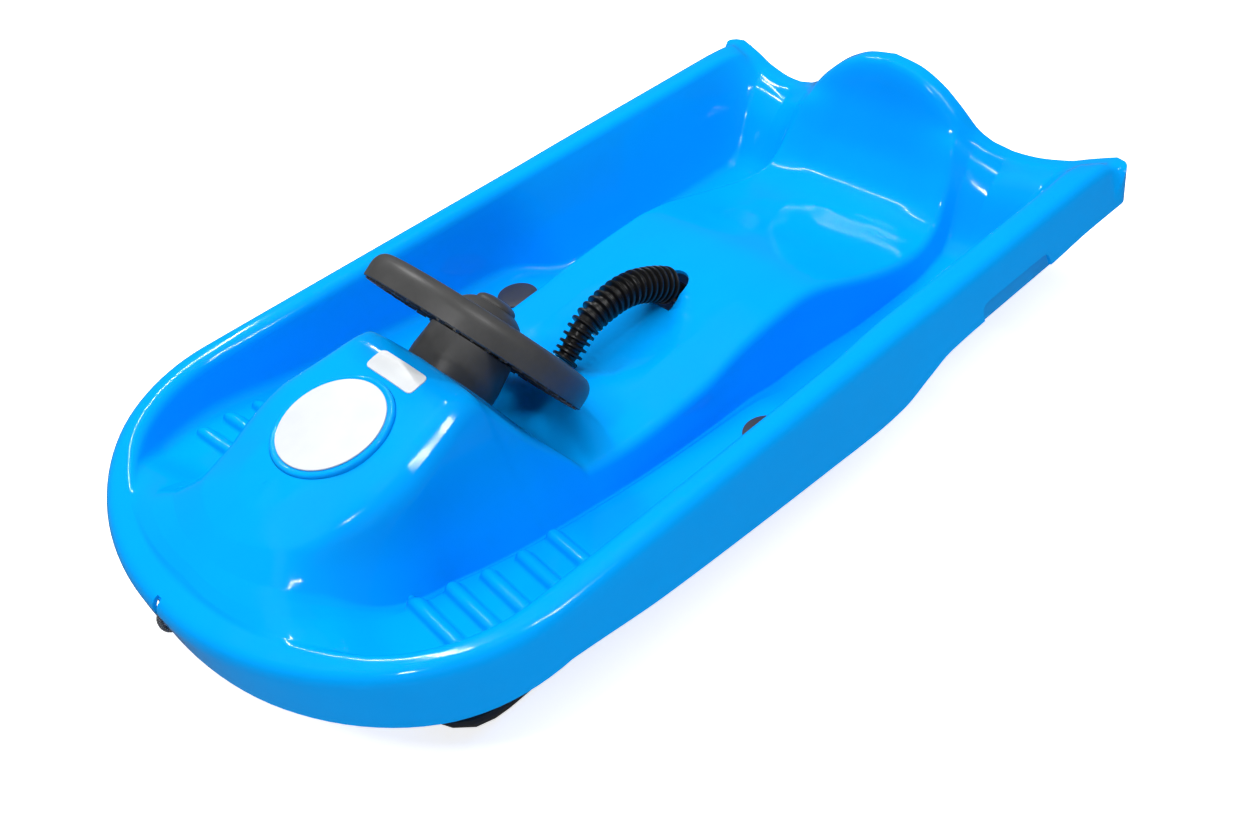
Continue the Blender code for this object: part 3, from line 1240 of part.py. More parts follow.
# Round caps in the footrests
CAP_X = 0.176
CAP_Y = 0.0235
FLOOR_CAP_RADIUS = 0.0205
FLOOR_CAP_FLANGE = 0.0220
cap_face = max(skin_height(CAP_X + FLOOR_CAP_FLANGE * a, CAP_Y + FLOOR_CAP_FLANGE * b) for a, b in (
    (0, 0), (1, 0), (-1, 0), (0, 1), (0, -1), (0.7, -0.7), (-0.7, -0.7)
))
for side, word in ((1, "left"), (-1, "right")):
    cap_axis = frame_at(f"floor_cap_axis_{word}", (side * CAP_X, CAP_Y, cap_face + GAP))
    cap = turned(f"floor_cap_{word}", [
        (0.0, -0.004), (FLOOR_CAP_RADIUS - 0.0025, -0.004), (FLOOR_CAP_RADIUS - 0.0025, -0.009), (FLOOR_CAP_RADIUS, -0.009),
        (FLOOR_CAP_RADIUS, 0.0), (FLOOR_CAP_FLANGE, 0.0), (FLOOR_CAP_FLANGE, 0.0008), (FLOOR_CAP_FLANGE - 0.001, 0.0016),
        (0.010, 0.0020), (0.0, 0.0020),
    ], 28, cap_axis)
    finish(cap, GREY, 0.45)
    hull_cuts.append(turned(f"floor_cap_hole_{word}", [
        (0.0, -0.012), (FLOOR_CAP_RADIUS + GAP, -0.012), (FLOOR_CAP_RADIUS + GAP, 0.010), (0.0, 0.010)
    ], 28, cap_axis))

# Reel under the hood: a round cover over a housing with a spring-wound spool
COVER_TILT = math.radians(10.0)
COVER_CENTRE = Vector((0.0, -0.2965, 0.1880))
COVER_RADIUS = 0.0540
COVER_TOP_THICK = 0.003
COVER_SKIRT = 0.026
COVER_WALL = 0.0028
reel = frame_at("reel_axis", COVER_CENTRE, (COVER_TILT, 0.0, 0.0))
cover_inner = COVER_RADIUS - COVER_WALL
cover = turned("reel_cover", [
    (0.0, -COVER_TOP_THICK), (cover_inner, -COVER_TOP_THICK), (cover_inner, -COVER_SKIRT), (COVER_RADIUS, -COVER_SKIRT),
    (COVER_RADIUS, -0.0012), (COVER_RADIUS - 0.0012, 0.0), (0.0, 0.0),
], 32, reel)
finish(cover, BLUE, 0.28)
hull_cuts.append(turned("cover_opening", [
    (0.0, -0.045), (COVER_RADIUS + GAP, -0.045), (COVER_RADIUS + GAP, 0.030), (0.0, 0.030)
], 32, reel))

LABEL_RADIUS = 0.0478
LABEL_THICK = 0.0012
label = turned("cover_label", [
    (0.0, GAP), (LABEL_RADIUS, GAP), (LABEL_RADIUS, GAP + LABEL_THICK - 0.0004), (LABEL_RADIUS - 0.0004, GAP + LABEL_THICK),
    (0.0, GAP + LABEL_THICK),
], 32, reel)
finish(label, WHITE, 0.35)

HOUSING_RADIUS = cover_inner - GAP
HOUSING_WALL = 0.002
HOUSING_TOP = -COVER_TOP_THICK - GAP
HOUSING_BOTTOM = -0.0380
HOUSING_FLOOR = 0.0025
housing_floor = HOUSING_BOTTOM + HOUSING_FLOOR
housing = turned("reel_housing", [
    (0.0, HOUSING_BOTTOM), (HOUSING_RADIUS, HOUSING_BOTTOM), (HOUSING_RADIUS, HOUSING_TOP),
    (HOUSING_RADIUS - HOUSING_WALL, HOUSING_TOP), (HOUSING_RADIUS - HOUSING_WALL, housing_floor), (0.0, housing_floor),
], 28, reel)
REEL_AXLE_RADIUS = 0.004
cut(housing, block("cord_outlet", (0.0295, -0.046, -0.0335), (0.0420, -0.022, -0.0245), reel))
cut(housing, turned("reel_axle_hole", [
    (0.0, HOUSING_BOTTOM - 0.001), (REEL_AXLE_RADIUS + GAP, HOUSING_BOTTOM - 0.001),
    (REEL_AXLE_RADIUS + GAP, housing_floor + 0.001), (0.0, housing_floor + 0.001),
], 16, reel))
finish(housing, BLACK, 0.5)

reel_axle = turned("reel_axle", [
    (0.0, HOUSING_BOTTOM - 0.0025), (0.0075, HOUSING_BOTTOM - 0.0025), (0.0075, HOUSING_BOTTOM - GAP),
    (REEL_AXLE_RADIUS, HOUSING_BOTTOM - GAP), (REEL_AXLE_RADIUS, HOUSING_TOP - GAP), (0.0, HOUSING_TOP - GAP),
], 16, reel)
finish(reel_axle, STEEL, 0.35, 1.0)

SPOOL_LOW = housing_floor + 0.0010
SPOOL_FLANGE = 0.0015
DRUM_RADIUS = 0.0260
SPOOL_FLANGE_RADIUS = 0.0400
DRUM_HEIGHT = 0.0130
SPRING_WELL = 0.0090
upper_flange = SPOOL_LOW + SPOOL_FLANGE + DRUM_HEIGHT
well_floor = upper_flange + SPOOL_FLANGE
well_top = well_floor + SPRING_WELL
spool = ring_solid("reel_spool", [
    (REEL_AXLE_RADIUS + GAP, SPOOL_LOW), (SPOOL_FLANGE_RADIUS, SPOOL_LOW), (SPOOL_FLANGE_RADIUS, SPOOL_LOW + SPOOL_FLANGE),
    (DRUM_RADIUS, SPOOL_LOW + SPOOL_FLANGE), (DRUM_RADIUS, upper_flange), (SPOOL_FLANGE_RADIUS, upper_flange),
    (SPOOL_FLANGE_RADIUS, well_top), (SPOOL_FLANGE_RADIUS - 0.0015, well_top), (SPOOL_FLANGE_RADIUS - 0.0015, well_floor),
    (REEL_AXLE_RADIUS + GAP, well_floor),
], 32, reel)
finish(spool, BLACK, 0.5)

winding = ring_solid("cord_winding", [
    (DRUM_RADIUS + GAP, SPOOL_LOW + SPOOL_FLANGE + GAP), (SPOOL_FLANGE_RADIUS - 0.001, SPOOL_LOW + SPOOL_FLANGE + GAP),
    (SPOOL_FLANGE_RADIUS - 0.001, upper_flange - GAP), (DRUM_RADIUS + GAP, upper_flange - GAP),
], 28, reel)
finish(winding, CORD_GREY, 0.8)

# Flat spiral spring in the spool's well
SPIRAL_TURNS = 5
SPIRAL_POINTS = 14
SPIRAL_INNER = 0.0075
SPIRAL_OUTER = 0.0370
SPIRAL_STRIP = 0.0006
spiral_loops = []
for k in range(SPIRAL_TURNS * SPIRAL_POINTS + 1):
    angle = 2 * math.pi * k / SPIRAL_POINTS
    radius = SPIRAL_INNER + (SPIRAL_OUTER - SPIRAL_INNER) * k / (SPIRAL_TURNS * SPIRAL_POINTS)
    c, s = math.cos(angle), math.sin(angle)
    spiral_loops.append([
        ((radius + a) * c, (radius + a) * s, z)
        for a, z in (
            (0.0, well_floor + 0.0010), (SPIRAL_STRIP, well_floor + 0.0010),
            (SPIRAL_STRIP, well_top - 0.0010), (0.0, well_top - 0.0010),
        )
    ])
spiral = loft("reel_spring", spiral_loops, reel)
finish(spiral, STEEL, 0.35, 1.0)

# Bare data label on the hood
DATA_CENTRE_Y = -0.2275
DATA_HALF_LENGTH = 0.0315
DATA_HALF_WIDTH = 0.0105
DATA_CORNER = 0.004
DATA_THICK = 0.0006
data_outline = []
for corner_x, corner_y, start in ((1, 1, 0.0), (-1, 1, 0.5), (-1, -1, 1.0), (1, -1, 1.5)):
    for k in range(4):
        a = math.pi * (start + 0.5 * k / 3)
        data_outline.append((
            corner_x * (DATA_HALF_LENGTH - DATA_CORNER) + DATA_CORNER * math.cos(a),
            corner_y * (DATA_HALF_WIDTH - DATA_CORNER) + DATA_CORNER * math.sin(a),
        ))
data_bm = bmesh.new()
for x, y in data_outline:
    data_bm.verts.new((x, DATA_CENTRE_Y + y, 0.0))
data_bm.faces.new(data_bm.verts)
for plane_x in (-0.024, -0.016, -0.008, 0.0, 0.008, 0.016, 0.024):
    geometry = data_bm.verts[:] + data_bm.edges[:] + data_bm.faces[:]
    bmesh.ops.bisect_plane(data_bm, geom=geometry, plane_co=(plane_x, 0, 0), plane_no=(1, 0, 0), dist=1e-7)
for plane_y in (DATA_CENTRE_Y - 0.006, DATA_CENTRE_Y, DATA_CENTRE_Y + 0.006):
    geometry = data_bm.verts[:] + data_bm.edges[:] + data_bm.faces[:]
    bmesh.ops.bisect_plane(data_bm, geom=geometry, plane_co=(0, plane_y, 0), plane_no=(0, 1, 0), dist=1e-7)
bottom_faces = data_bm.faces[:]
grown = bmesh.ops.extrude_face_region(data_bm, geom=bottom_faces)
upper = {v for v in grown["geom"] if isinstance(v, bmesh.types.BMVert)}
for v in data_bm.verts:
    v.co.z = skin_height(v.co.x, v.co.y) + 0.0008 + (DATA_THICK if v in upper else 0.0)
data_label = new_object("data_label", data_bm)
finish(data_label, WHITE, 0.35)

# Pull cord: from the reel under the hood, out through the nose slit and down to its handle
CORD_RADIUS = 0.00225
SLIT_HALF_WIDTH = 0.0032
SLIT_LOW = 0.0950
SLIT_HIGH = 0.1375
SLIT_DEPTH = 0.0080
slit = block("nose_slit", (-SLIT_HALF_WIDTH, -HALF_LENGTH - 0.010, SLIT_LOW), (SLIT_HALF_WIDTH, -HALF_LENGTH + SLIT_DEPTH, SLIT_HIGH))
hull_cuts.append(slit)
reel_matrix = Matrix.Translation(COVER_CENTRE) @ Matrix.Rotation(COVER_TILT, 4, "X")
CORD_LEVEL = -0.0290
cord_start = reel_matrix @ Vector((0.0416, -0.0060, CORD_LEVEL))
cord_leave = reel_matrix @ Vector((0.0357, -0.0345, CORD_LEVEL))
HANDLE_Y = -0.4560
HANDLE_Z = 0.1020
HANDLE_RADIUS = 0.0075
HANDLE_HALF = 0.040
cord_route = [
    cord_start,
    cord_leave,
    Vector((0.0200, -0.4050, 0.1400)),
    Vector((0.0030, -0.4560, 0.1260)),
    Vector((0.0, -0.4740, 0.1235)),
    Vector((0.0, -HALF_LENGTH + 0.0005, 0.1190)),
    Vector((0.0, -HALF_LENGTH - 0.0010, 0.1100)),
    Vector((0.0, -HALF_LENGTH + 0.0020, 0.1020)),
    Vector((0.0, -0.4730, 0.0985)),
    Vector((0.0, HANDLE_Y - HANDLE_RADIUS - GAP - 0.0003, HANDLE_Z - 0.0015)),
]


def smooth_route(points, spacing):
    """Points at an even spacing along a Catmull-Rom curve through the route."""
    fine = []
    for i in range(len(points) - 1):
        p0 = points[max(i - 1, 0)]
        p1, p2 = points[i], points[i + 1]
        p3 = points[min(i + 2, len(points) - 1)]
        for k in range(24):
            t = k / 24
            fine.append(0.5 * (
                2 * p1 + (p2 - p0) * t + (2 * p0 - 5 * p1 + 4 * p2 - p3) * t**2 + (3 * p1 - p0 - 3 * p2 + p3) * t**3
            ))
    fine.append(points[-1])
    travelled = [0.0]
    for a, b in zip(fine, fine[1:]):
        travelled.append(travelled[-1] + (b - a).length)
    count = max(2, round(travelled[-1] / spacing))
    out = []
    for k in range(count + 1):
        s = travelled[-1] * k / count
        out.append(Vector(tuple(float(np.interp(s, travelled, [p[axis] for p in fine])) for axis in range(3))))
    return out


cord_points = smooth_route(cord_route, 2.2 * 2 * CORD_RADIUS)
cord_curve = bpy.data.curves.new("pull_cord", "CURVE")
cord_curve.dimensions = "3D"
cord_curve.bevel_depth = CORD_RADIUS
cord_curve.bevel_resolution = 2
cord_curve.use_fill_caps = True
spline = cord_curve.splines.new("POLY")
spline.points.add(len(cord_points) - 1)
for point, place in zip(spline.points, cord_points):
    point.co = (*place, 1.0)
cord = bpy.data.objects.new("pull_cord", cord_curve)
bpy.context.scene.collection.objects.link(cord)
cord_material = bpy.data.materials.new("pull_cord")
cord_material.use_nodes = True
cord_shader = cord_material.node_tree.nodes["Principled BSDF"]
cord_shader.inputs["Base Color"].default_value = (*CORD_GREY, 1.0)
cord_shader.inputs["Roughness"].default_value = 0.8
cord_curve.materials.append(cord_material)

handle_axis = frame_at("handle_axis", (0.0, HANDLE_Y, HANDLE_Z))
handle = loft("pull_handle", [
    [(x, r * math.cos(a), r * math.sin(a)) for a in (2 * math.pi * k / 16 for k in range(16))]
    for x, r in (
        (-HANDLE_HALF, 0.0050), (-HANDLE_HALF + 0.003, HANDLE_RADIUS), (HANDLE_HALF - 0.003, HANDLE_RADIUS), (HANDLE_HALF, 0.0050)
    )
], handle_axis)
finish(handle, BLACK, 0.5)

beam_bore = turned("axle_beam_bore", [
    (0.0, BEAM_PLACE - BEAM_BOSS_LENGTH), (BUSH_RADIUS + GAP, BEAM_PLACE - BEAM_BOSS_LENGTH),
    (BUSH_RADIUS + GAP, BEAM_PLACE + BEAM_BOSS_LENGTH), (0.0, BEAM_PLACE + BEAM_BOSS_LENGTH),
], 22, steering)
hull_cuts.append(beam_bore)
for helper in hull_additions:
    add(hull, helper)
    facet(hull)
for helper in hull_cuts:
    cut(hull, helper)
    facet(hull)
finish(hull, BLUE, 0.28)
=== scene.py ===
"""Looks of the steering sled: its hull, wheel, brake lever, labels and cord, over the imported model."""

import math

import bmesh
import bpy
import numpy as np
from mathutils import Matrix, Vector
from mathutils.bvhtree import BVHTree


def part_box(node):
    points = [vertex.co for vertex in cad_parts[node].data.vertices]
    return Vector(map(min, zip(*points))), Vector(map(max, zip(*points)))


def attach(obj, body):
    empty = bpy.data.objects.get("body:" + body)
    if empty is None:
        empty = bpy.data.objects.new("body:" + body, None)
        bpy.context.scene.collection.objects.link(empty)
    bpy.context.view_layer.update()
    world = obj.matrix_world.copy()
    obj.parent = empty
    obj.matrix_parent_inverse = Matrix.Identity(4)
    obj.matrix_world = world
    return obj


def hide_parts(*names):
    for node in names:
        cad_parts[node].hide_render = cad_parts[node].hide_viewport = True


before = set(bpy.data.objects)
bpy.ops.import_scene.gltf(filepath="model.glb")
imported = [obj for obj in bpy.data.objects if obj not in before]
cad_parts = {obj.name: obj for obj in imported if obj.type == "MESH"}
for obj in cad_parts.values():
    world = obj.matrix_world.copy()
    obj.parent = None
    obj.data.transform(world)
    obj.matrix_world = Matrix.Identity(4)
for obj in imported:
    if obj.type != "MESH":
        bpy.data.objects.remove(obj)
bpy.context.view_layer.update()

# Camera, fitted to the photograph
CAMERA_PLACE = Vector((0.7659, -0.6056, 0.836))
CAMERA_AZIMUTH = math.radians(51.516)
CAMERA_ELEVATION = math.radians(41.031)
CAMERA_ROLL = math.radians(-8.952)
FOCAL_PIXELS = 1270.1
IMAGE_WIDTH = 1250


def make_camera():
    """The photograph's camera."""
    a, e, r = CAMERA_AZIMUTH, CAMERA_ELEVATION, CAMERA_ROLL
    back = Vector((math.sin(a) * math.cos(e), -math.cos(a) * math.cos(e), math.sin(e)))
    level = Vector((math.cos(a), math.sin(a), 0.0))
    upright = back.cross(level)
    right = level * math.cos(r) + upright * math.sin(r)
    up = upright * math.cos(r) - level * math.sin(r)
    data = bpy.data.cameras.new("camera")
    data.sensor_width = 36.0
    data.lens = FOCAL_PIXELS * 36.0 / IMAGE_WIDTH
    data.clip_start, data.clip_end = 0.05, 50.0
    camera = bpy.data.objects.new("camera", data)
    bpy.context.scene.collection.objects.link(camera)
    camera.matrix_world = Matrix((
        (right.x, up.x, back.x, CAMERA_PLACE.x),
        (right.y, up.y, back.y, CAMERA_PLACE.y),
        (right.z, up.z, back.z, CAMERA_PLACE.z),
        (0, 0, 0, 1),
    ))
    bpy.context.scene.camera = camera


make_camera()

# Overall sizes
HALF_LENGTH = 0.482
RIM_HALF_WIDTH = 0.2525
RIM_HEIGHT = 0.143
RIM_WIDTH = 0.0265
WALL = 0.0035

# Radii of the bores for pins and for the axle's bushes
PIN_BORE = 0.0043
BUSH_BORE = 0.0103

# The nose is half an ellipse in plan
NOSE_LENGTH = 0.192
NOSE_START = -HALF_LENGTH + NOSE_LENGTH
ANCHOR_REACH = 0.072
REAR_CORNER_RADIUS = 0.018
REAR_EDGE = HALF_LENGTH - 0.002

# Heights of the top surface
WELL_FLOOR = 0.035
FOOTREST_HEIGHT = 0.0475
PLATFORM_HEIGHT = 0.094
PLATFORM_DIP = 0.0845
THIGH_HEIGHT = 0.107
SEAT_LOW = 0.06
HOOD_HEIGHT = 0.1995
BACKREST_HEIGHT = 0.1955
SCALLOP_HEIGHT = 0.1155

# Where things sit along the sled
DASH_TOP_Y = -0.206
DASH_FOOT_Y = -0.1375
REAR_WALL_FOOT_Y = 0.372
REAR_SKIRT_BOTTOM = 0.0955


def smooth_curve(*points):
    """A monotone cubic through (position, value) points, flat beyond its ends."""
    at = np.array([p[0] for p in points], float)
    value = np.array([p[1] for p in points], float)
    step = np.diff(at)
    slope = np.diff(value) / step
    tangent = np.zeros_like(value)
    tangent[0], tangent[-1] = slope[0], slope[-1]
    for i in range(1, len(at) - 1):
        if slope[i - 1] * slope[i] > 0:
            w0 = 2 * step[i] + step[i - 1]
            w1 = step[i] + 2 * step[i - 1]
            tangent[i] = (w0 + w1) / (w0 / slope[i - 1] + w1 / slope[i])

    def read(t):
        t = min(max(t, at[0]), at[-1])
        i = min(int(np.searchsorted(at, t, side="right")) - 1, len(at) - 2)
        h = step[i]
        s = (t - at[i]) / h
        return float(
            (1 + 2 * s) * (1 - s) ** 2 * value[i]
            + s * (1 - s) ** 2 * h * tangent[i]
            + s * s * (3 - 2 * s) * value[i + 1]
            + s * s * (s - 1) * h * tangent[i + 1]
        )

    return read


# Largest share of a straight stretch that a rounded corner may take up
FIRST_FILLET_SHARE = 0.92
FILLET_SHARE = 0.46


def rounded_line(keys, radii, arc_steps, runs):
    """Points along a bent line whose inner corners are rounded.

    keys are (across, height) points, radii one per inner key, arc_steps points per corner
    and runs the number of pieces that each straight stretch is cut into.
    """
    pts = [np.array(k, float) for k in keys]
    corners = []
    for i in range(1, len(pts) - 1):
        back = pts[i - 1] - pts[i]
        ahead = pts[i + 1] - pts[i]
        back_len, ahead_len = np.linalg.norm(back), np.linalg.norm(ahead)
        back, ahead = back / back_len, ahead / ahead_len
        turn = math.pi - math.acos(float(np.clip(back @ ahead, -1, 1)))
        back_share = FIRST_FILLET_SHARE if i == 1 else FILLET_SHARE
        cut = min(radii[i - 1] * math.tan(turn / 2), back_share * back_len, FILLET_SHARE * ahead_len)
        start, end = pts[i] + back * cut, pts[i] + ahead * cut
        arc = []
        for k in range(arc_steps):
            s = k / (arc_steps - 1)
            weight = math.cos(turn / 2)
            blend = (1 - s) ** 2 + 2 * weight * s * (1 - s) + s * s
            arc.append(((1 - s) ** 2 * start + 2 * weight * s * (1 - s) * pts[i] + s * s * end) / blend)
        corners.append(arc)
    out = [pts[0]]
    for i, count in enumerate(runs):
        begin = out[-1]
        end = corners[i][0] if i < len(corners) else pts[-1]
        out += [begin + (end - begin) * k / count for k in range(1, count)]
        out += corners[i] if i < len(corners) else [end]
    return np.array(out)


# The rear edge across the sled: how high it stands and how far back it reaches
rear_height = smooth_curve(
    (0.0, BACKREST_HEIGHT), (0.03, 0.1905), (0.06, 0.1768), (0.085, 0.1568), (0.11, 0.1319),
    (0.14, 0.1186), (0.17, SCALLOP_HEIGHT), (0.2, 0.1185), (0.225, 0.1268), (0.25, 0.136),
)
rear_setback = smooth_curve(
    (0.0, 0.0305), (0.06, 0.0298), (0.085, 0.029), (0.11, 0.0258), (0.14, 0.0198), (0.17, 0.0128),
    (0.2, 0.006), (0.225, 0.0015), (0.24, 0.0)
)

# Middle of the hood, dash, platform, seat and backrest
middle_height = smooth_curve(
    (NOSE_START, 0.187), (-0.245, 0.1945), (-0.217, HOOD_HEIGHT), (DASH_TOP_Y, 0.1985), (-0.198, 0.19),
    (-0.15, 0.106), (DASH_FOOT_Y, 0.088), (-0.12, PLATFORM_DIP + 0.0007), (-0.09, PLATFORM_DIP),
    (-0.06, PLATFORM_DIP + 0.0025), (-0.02, PLATFORM_HEIGHT), (0.04, PLATFORM_HEIGHT + 0.006),
    (0.12, THIGH_HEIGHT), (0.16, 0.105), (0.215, 0.09), (0.275, 0.07), (0.335, SEAT_LOW),
    (0.385, 0.069), (0.42, 0.097), (0.445, 0.138), (0.462, 0.178), (0.47, 0.191),
    (REAR_EDGE, BACKREST_HEIGHT),
)

# Shoulder of the hood, then a line near the middle of the platform and seat
shoulder_x = smooth_curve(
    (NOSE_START, 0.045), (DASH_TOP_Y, 0.045), (DASH_FOOT_Y, 0.066), (0.0, 0.072), (0.34, 0.072),
    (REAR_EDGE, 0.045)
)
shoulder_z = smooth_curve(
    (NOSE_START, 0.1862), (-0.245, 0.1937), (-0.217, HOOD_HEIGHT - 0.001), (DASH_TOP_Y, 0.197),
    (-0.198, 0.1875), (-0.15, 0.105), (DASH_FOOT_Y, 0.0872), (-0.12, PLATFORM_DIP),
    (-0.09, PLATFORM_DIP - 0.0005), (-0.06, PLATFORM_DIP + 0.0015), (-0.02, PLATFORM_HEIGHT - 0.0015),
    (0.04, PLATFORM_HEIGHT + 0.004), (0.12, THIGH_HEIGHT - 0.001), (0.16, 0.104), (0.215, 0.089),
    (0.275, 0.069), (0.335, SEAT_LOW - 0.001), (0.385, 0.068), (0.42, 0.095), (0.445, 0.134),
    (0.462, 0.171), (0.47, 0.182), (REAR_EDGE, 0.185),
)

# Top edge of the hood's flank, then of the platform, seat and backrest
edge_x = smooth_curve(
    (NOSE_START, 0.0955), (-0.245, 0.0835), (-0.217, 0.077), (DASH_TOP_Y, 0.076), (-0.18, 0.096),
    (-0.16, 0.106), (DASH_FOOT_Y, 0.115), (-0.08, 0.121), (0.0, 0.123), (0.06, 0.119),
    (0.14, 0.118), (0.18, 0.122), (0.215, 0.128), (0.26, 0.131), (0.31, 0.127), (0.35, 0.12),
    (0.39, 0.113), (0.42, 0.106), (0.445, 0.098), (REAR_EDGE, 0.092),
)
edge_z = smooth_curve(
    (NOSE_START, 0.1845), (-0.245, 0.192), (-0.217, 0.1965), (DASH_TOP_Y, 0.195), (-0.198, 0.18),
    (-0.18, 0.145), (-0.16, 0.1195), (-0.145, 0.0975), (DASH_FOOT_Y, 0.087), (-0.08, 0.0845),
    (0.0, 0.088), (0.06, 0.098), (0.12, 0.103), (0.15, 0.104), (0.18, 0.099), (0.24, 0.081),
    (0.3, 0.0645), (0.34, 0.0585), (0.368, 0.063), (0.392, 0.078), (0.42, 0.104), (0.445, 0.131),
    (REAR_EDGE, 0.149),
)

# Foot of the flank and of the island's wall, with a shallow groove beside the footrest
foot_x = smooth_curve(
    (NOSE_START, 0.117), (-0.245, 0.1225), (DASH_TOP_Y, 0.1255), (-0.1, 0.1275), (0.0, 0.1285),
    (0.12, 0.127), (0.22, 0.135), (0.3, 0.136), (0.36, 0.129), (0.42, 0.12), (REAR_EDGE, 0.112)
)
foot_z = smooth_curve(
    (NOSE_START, 0.077), (-0.245, 0.069), (-0.205, 0.064), (-0.15, 0.0565), (-0.1, 0.0505),
    (-0.05, 0.0465), (0.0, 0.044), (0.05, 0.042), (0.1, WELL_FLOOR),
    (REAR_WALL_FOOT_Y - 0.01, WELL_FLOOR), (0.385, 0.045), (0.43, 0.1), (0.446, 0.116),
    (REAR_EDGE, 0.1305)
)

# Inner edge and height of the footrest, which slopes down to the well behind it
ledge_in_x = smooth_curve(
    (NOSE_START, 0.128), (-0.245, 0.1325), (-0.205, 0.134), (-0.1, 0.1345), (0.0, 0.1365), (0.06, 0.139),
    (0.12, 0.142), (0.36, 0.148), (REAR_EDGE, 0.145)
)
ledge_z = smooth_curve(
    (NOSE_START, 0.0875), (-0.25, 0.08), (-0.205, 0.0715), (-0.15, 0.062), (-0.1, 0.0555), (-0.05, 0.051),
    (0.0, FOOTREST_HEIGHT + 0.001), (0.024, FOOTREST_HEIGHT), (0.052, 0.0455), (0.075, 0.04),
    (0.1, WELL_FLOOR), (REAR_WALL_FOOT_Y - 0.007, WELL_FLOOR), (0.385, 0.043), (0.43, 0.0915),
    (0.446, 0.1035), (REAR_EDGE, SCALLOP_HEIGHT + 0.002)
)

# Foot of the outer wall under the rim
wall_x = smooth_curve(
    (NOSE_START, RIM_HALF_WIDTH - 0.029), (-0.2, RIM_HALF_WIDTH - 0.0285),
    (-0.12, RIM_HALF_WIDTH - 0.026), (-0.02, RIM_HALF_WIDTH - 0.026), (0.045, RIM_HALF_WIDTH - 0.0305),
    (0.07, RIM_HALF_WIDTH - 0.0395), (0.1, RIM_HALF_WIDTH - 0.061), (0.125, RIM_HALF_WIDTH - 0.0685),
    (0.38, RIM_HALF_WIDTH - 0.0695), (0.443, RIM_HALF_WIDTH - 0.0565),
    (REAR_EDGE, RIM_HALF_WIDTH - 0.0475)
)
wall_z = smooth_curve(
    (NOSE_START, 0.089), (-0.25, 0.081), (-0.205, 0.0725), (-0.15, 0.063), (-0.1, 0.056), (-0.05, 0.051),
    (0.0, FOOTREST_HEIGHT + 0.001), (0.024, FOOTREST_HEIGHT), (0.052, 0.0455), (0.075, 0.04),
    (0.1, WELL_FLOOR), (REAR_WALL_FOOT_Y - 0.007, WELL_FLOOR), (0.385, 0.043), (0.43, 0.094),
    (0.446, 0.1075), (REAR_EDGE, 0.1195)
)

# Rim: its inner and outer corners dip to the rounded rear end
rim_in_z = smooth_curve(
    (NOSE_START, RIM_HEIGHT), (0.41, RIM_HEIGHT), (0.44, 0.139), (0.46, 0.132), (REAR_EDGE, 0.126)
)
rim_out_z = smooth_curve(
    (NOSE_START, RIM_HEIGHT), (0.452, RIM_HEIGHT), (0.466, 0.1415), (0.474, 0.1385), (REAR_EDGE, 0.133)
)

# Skirt: how far it flares out and down along the side
skirt_flare = smooth_curve(
    (NOSE_START, 0.012), (-0.2, 0.0148), (0.05, 0.016), (0.2, 0.017), (REAR_EDGE, 0.0175)
)
skirt_bottom = smooth_curve(
    (NOSE_START, 0.1), (-0.26, 0.0965), (-0.2, 0.089), (-0.1, 0.0805), (0.0, 0.0735), (0.075, 0.0695),
    (0.105, 0.0715), (0.14, 0.083), (0.172, 0.093), (0.21, 0.095), (0.34, 0.096), (0.4, 0.0985),
    (REAR_EDGE, 0.0975)
)

CORNER_RADII = (0.06, 0.011, 0.01, 0.007, 0.007, 0.011, 0.012, 0.012)
HOOD_RADII = (0.06, 0.03, 0.014, 0.007, 0.007, 0.011, 0.012, 0.012)


def rear_corner_inset(y):
    """How far the outline has turned in on the rounded rear corner."""
    past = max(0.0, y - (REAR_EDGE - REAR_CORNER_RADIUS))
    past = min(past, REAR_CORNER_RADIUS)
    return REAR_CORNER_RADIUS - math.sqrt(REAR_CORNER_RADIUS**2 - past**2)


def side_keys(y):
    """The key points of the section across the sled at y, from the middle to the skirt's edge."""
    outer = RIM_HALF_WIDTH - rear_corner_inset(y)
    return [
        (0.0, middle_height(y)),
        (shoulder_x(y), shoulder_z(y)),
        (edge_x(y), edge_z(y)),
        (foot_x(y), foot_z(y)),
        (foot_x(y) + 0.35 * (ledge_in_x(y) - foot_x(y)), foot_z(y) + 0.35 * min(0.0, ledge_z(y) - foot_z(y))),
        (ledge_in_x(y), ledge_z(y)),
        (wall_x(y) - 0.6 * rear_corner_inset(y), wall_z(y)),
        (outer - RIM_WIDTH + 0.002, rim_in_z(y)),
        (outer + 0.002, rim_out_z(y)),
        (outer + skirt_flare(y), skirt_bottom(y)),
    ]


def smooth_step(t, low, high):
    """0 below low, 1 above high, smooth between."""
    s = min(max((t - low) / (high - low), 0.0), 1.0)
    return s * s * (3 - 2 * s)


# Sections of the nose, along lines that fan out from the middle of the hood. Each key is a
# fraction of the way to the outline and a height, at 0, 30, 45 and 60 degrees from straight ahead.
# At 90 degrees they meet the first section across the sled.
FAN_ANGLES = (0.0, 30.0, 45.0, 60.0, 90.0)
FAN_FRACTIONS = (
    (0.2, 0.2, 0.19, 0.18),
    (0.42, 0.42, 0.4, 0.37),
    (0.58, 0.6, 0.54, 0.52),
    (0.62, 0.65, 0.58, 0.538),
    (0.68, 0.73, 0.65, 0.575),
    (0.75, 0.82, 0.84, 0.865),
)
FAN_HEIGHTS = (
    (0.175, 0.177, 0.179, 0.182),
    (0.1695, 0.1715, 0.175, 0.1785),
    (0.16, 0.162, 0.16, 0.165),
    (0.152, 0.15, 0.13, 0.104),
    (0.15, 0.148, 0.1275, 0.103),
    (0.147, 0.1445, 0.1275, 0.1035),
    (0.1425, 0.1405, 0.1335, 0.11),
)
FAN_RIM_IN = (0.139, 0.1395, 0.1405, 0.142, RIM_HEIGHT)
